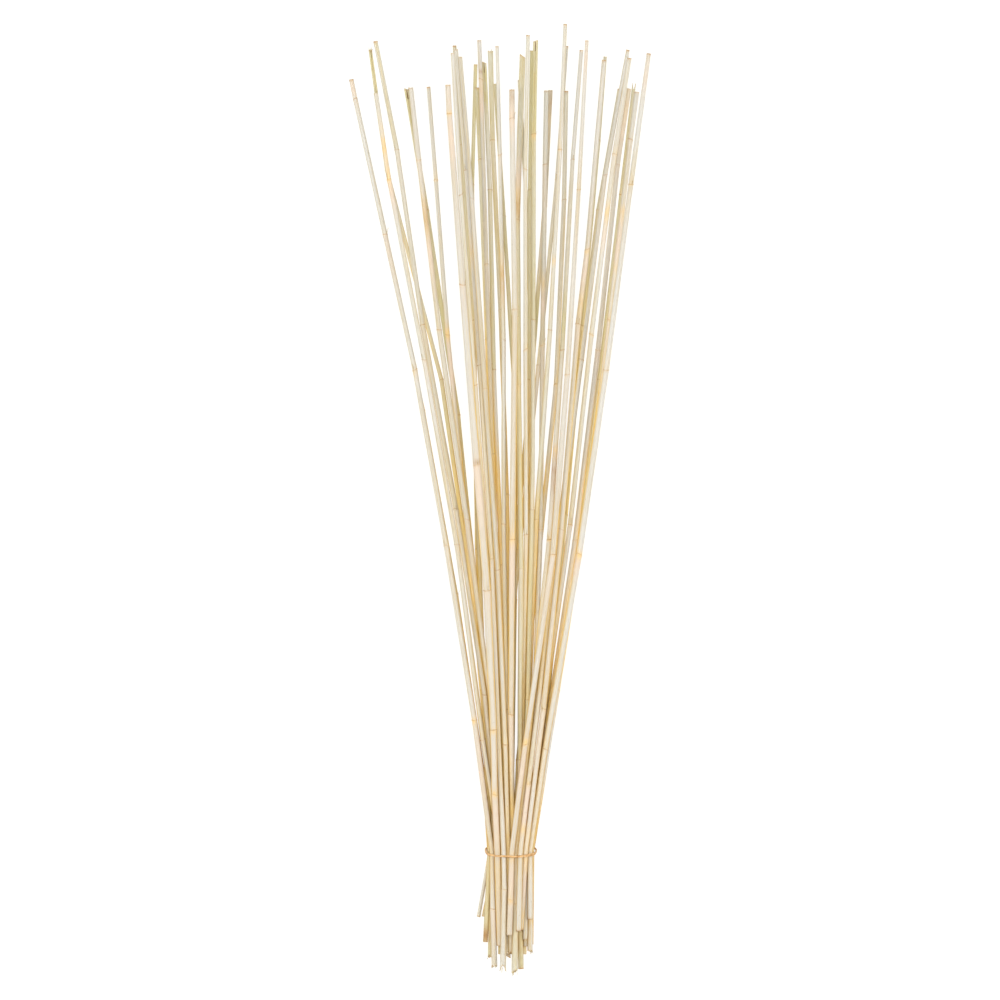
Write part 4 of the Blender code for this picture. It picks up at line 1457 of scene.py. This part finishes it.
REED_LOOKS: Dict[int, ReedLook] = {
    1: ReedLook(0.25, 0.5, 0.1, 0.6, butt=EndCut.RAGGED, patches=(
        Patch(Zone.BLUSH, 411.0, 11.0, 0.9), Patch(Zone.STAIN, 129.0, 6.0, 0.5),
        Patch(Zone.STAIN, -221.0, 5.0, 0.9), Patch(Zone.BLUSH, -275.0, 48.0, 0.6))),
    2: ReedLook(0.45, 0.2, 0.8, 0.4, tip=EndCut.RAGGED, split_mm=0.8, patches=(
        Patch(Zone.OLIVE, 440.0, 22.0, 0.9),)),
    3: ReedLook(0.30, 0.3, 0.3, 0.4),
    4: ReedLook(0.30, 0.5, 0.2, 0.8, patches=(
        Patch(Zone.STAIN, 352.0, 22.0, 1.0), Patch(Zone.BLUSH, 312.0, 22.0, 0.9),
        Patch(Zone.STAIN, 322.0, 9.0, 0.6))),
    5: ReedLook(0.60, 0.2, 1.0, 0.4, tip=EndCut.FLARED, split_mm=1.0, split_run_mm=60.0, patches=(
        Patch(Zone.OLIVE, 396.0, 22.0, 1.0), Patch(Zone.OLIVE, 168.0, 30.0, 0.9))),
    6: ReedLook(0.30, 0.5, 0.2, 0.8, patches=(
        Patch(Zone.STAIN, 284.0, 19.0, 0.9), Patch(Zone.BROWN, 284.0, 15.0, 0.3),
        Patch(Zone.BLUSH, 244.0, 25.0, 0.9))),
    7: ReedLook(0.25, 0.5, 0.2, 0.7, patches=(
        Patch(Zone.STAIN, 166.0, 7.0, 1.0), Patch(Zone.BLUSH, 130.0, 32.0, 0.9))),
    8: ReedLook(0.20, 0.6, 0.0, 0.6, patches=(
        Patch(Zone.BLUSH, 400.0, 13.0, 0.5), Patch(Zone.STAIN, 386.0, 2.5, 0.9),
        Patch(Zone.BLUSH, 360.0, 24.0, 1.0), Patch(Zone.BROWN, 38.0, 3.0, 0.35),
        Patch(Zone.BLUSH, 8.0, 28.0, 1.0), Patch(Zone.STAIN, -231.0, 3.5, 0.9),
        Patch(Zone.STAIN, -294.0, 4.0, 0.9), Patch(Zone.BLUSH, -322.0, 25.0, 0.7))),
    9: ReedLook(0.35, 0.4, 0.3, 0.7, patches=(Patch(Zone.STAIN, 49.0, 6.0, 0.8),)),
    10: ReedLook(0.45, 0.3, 0.4, 0.5, patches=(Patch(Zone.BROWN, -437.0, 8.0, 0.8),)),
    11: ReedLook(0.15, 0.2, 0.2, 0.4, butt=EndCut.FORKED, patches=(Patch(Zone.STAIN, 248.0, 16.0, 0.7),)),
    12: ReedLook(0.25, 0.3, 0.1, 0.5, patches=(Patch(Zone.STAIN, -352.0, 12.0, 0.3),)),
    13: ReedLook(0.40, 0.3, 0.7, 0.4, butt=EndCut.RAGGED),
    14: ReedLook(0.50, 0.3, 0.5, 0.6),
    15: ReedLook(0.30, 0.6, 0.2, 0.7, patches=(
        Patch(Zone.BROWN, 429.0, 2.0, 0.5), Patch(Zone.STAIN, 418.0, 13.0, 0.5),
        Patch(Zone.BLUSH, 396.0, 14.0, 0.7))),
    16: ReedLook(0.35, 0.2, 0.8, 0.4, split_mm=1.0, split_run_mm=60.0, patches=(
        Patch(Zone.OLIVE, 418.0, 32.0, 0.8),)),
    17: ReedLook(0.50, 0.3, 0.4, 0.6, tip=EndCut.FLARED),
    18: ReedLook(0.60, 0.2, 0.8, 0.5),
    19: ReedLook(0.30, 0.5, 0.2, 0.8, patches=(
        Patch(Zone.STAIN, 222.0, 24.0, 0.9), Patch(Zone.BROWN, 218.0, 18.0, 0.35))),
    20: ReedLook(0.35, 0.7, 0.1, 0.7, patches=(
        Patch(Zone.BROWN, 402.0, 7.0, 0.3), Patch(Zone.BLUSH, 384.0, 13.0, 0.9),
        Patch(Zone.STAIN, -39.0, 7.0, 0.9), Patch(Zone.BLUSH, -72.0, 28.0, 1.0))),
    21: ReedLook(0.30, 0.6, 0.4, 0.8, patches=(
        Patch(Zone.BLUSH, 322.0, 22.0, 0.9), Patch(Zone.STAIN, 296.0, 18.0, 1.0),
        Patch(Zone.BROWN, 292.0, 10.0, 0.35), Patch(Zone.STAIN, 113.0, 6.0, 0.8))),
    22: ReedLook(0.25, 0.3, 0.4, 0.4),
    23: ReedLook(0.45, 0.2, 0.8, 0.5, patches=(Patch(Zone.OLIVE, 400.0, 60.0, 0.6),)),
    24: ReedLook(0.40, 0.2, 0.9, 0.5, split_mm=1.0, split_run_mm=130.0, patches=(
        Patch(Zone.OLIVE, 405.0, 60.0, 0.9), Patch(Zone.STAIN, 363.0, 3.0, 0.8))),
    25: ReedLook(0.60, 0.2, 0.8, 0.5),
    26: ReedLook(0.20, 0.5, 0.2, 0.7, patches=(
        Patch(Zone.STAIN, 216.0, 8.0, 0.7), Patch(Zone.BLUSH, 198.0, 18.0, 0.8))),
    27: ReedLook(0.50, 0.5, 0.4, 0.8, patches=(
        Patch(Zone.BROWN, 398.0, 12.0, 0.3), Patch(Zone.STAIN, 376.0, 24.0, 0.6),
        Patch(Zone.OLIVE, 180.0, 35.0, 0.9))),
    28: ReedLook(0.30, 0.3, 0.5, 0.6, patches=(Patch(Zone.STAIN, 240.0, 4.0, 0.8),)),
    29: ReedLook(0.35, 0.3, 0.5, 0.5),
    30: ReedLook(0.35, 0.4, 0.4, 0.6),
    31: ReedLook(0.30, 0.4, 0.4, 0.8, butt=EndCut.RAGGED, patches=(
        Patch(Zone.STAIN, 48.0, 7.0, 1.0), Patch(Zone.BROWN, 26.0, 22.0, 0.4),
        Patch(Zone.OLIVE, 180.0, 34.0, 0.6))),
    32: ReedLook(0.20, 0.5, 0.0, 0.6, patches=(
        Patch(Zone.BLUSH, 440.0, 18.0, 0.7), Patch(Zone.STAIN, -242.0, 4.0, 0.9),
        Patch(Zone.BLUSH, -268.0, 22.0, 0.8), Patch(Zone.STAIN, -359.0, 4.0, 1.0),
        Patch(Zone.BLUSH, -380.0, 18.0, 1.0), Patch(Zone.STAIN, -402.0, 2.5, 0.8))),
    33: ReedLook(0.45, 0.3, 0.7, 0.5),
    34: ReedLook(0.25, 0.6, 0.1, 0.7, patches=(
        Patch(Zone.STAIN, 248.0, 3.0, 0.8), Patch(Zone.BLUSH, 226.0, 20.0, 0.9),
        Patch(Zone.STAIN, 196.0, 14.0, 0.8), Patch(Zone.STAIN, -362.0, 7.0, 1.0),
        Patch(Zone.BLUSH, -388.0, 18.0, 1.0), Patch(Zone.STAIN, -416.0, 3.0, 0.9),
        Patch(Zone.STAIN, -427.0, 5.0, 0.5))),
    35: ReedLook(0.25, 0.4, 0.1, 0.6, patches=(
        Patch(Zone.STAIN, -330.0, 2.5, 1.0), Patch(Zone.BLUSH, -306.0, 22.0, 0.9),
        Patch(Zone.STAIN, -284.0, 3.0, 0.8))),
    36: ReedLook(0.30, 0.5, 0.2, 0.7, patches=(
        Patch(Zone.STAIN, 288.0, 13.0, 0.9), Patch(Zone.BLUSH, 262.0, 14.0, 0.8))),
    37: ReedLook(0.50, 0.3, 0.5, 0.5),
    38: ReedLook(0.30, 0.7, 0.0, 0.6, butt=EndCut.RAGGED, patches=(
        Patch(Zone.BLUSH, 375.0, 34.0, 0.7), Patch(Zone.STAIN, 388.0, 18.0, 0.35))),
    39: ReedLook(0.45, 0.3, 0.6, 0.5, tip=EndCut.FORKED),
    40: ReedLook(0.20, 0.6, 0.0, 0.7, patches=(
        Patch(Zone.STAIN, 287.0, 6.0, 0.9), Patch(Zone.BLUSH, 256.0, 24.0, 1.0),
        Patch(Zone.STAIN, 233.0, 2.0, 0.9))),
    41: ReedLook(0.15, 0.4, 0.0, 0.6, patches=(
        Patch(Zone.BLUSH, 424.0, 20.0, 0.6), Patch(Zone.STAIN, -56.0, 5.0, 0.8),
        Patch(Zone.BLUSH, -66.0, 12.0, 0.7))),
    42: ReedLook(0.50, 0.3, 0.6, 0.5),
}


def main() -> None:
    """Builds the reeds, the band and the studio in order, and reports each piece."""
    logging.basicConfig(level=logging.INFO)
    Bunch(looks=REED_LOOKS).build()
    report(TieBand().build())
    Studio().build()


if __name__ == "__main__":
    main()
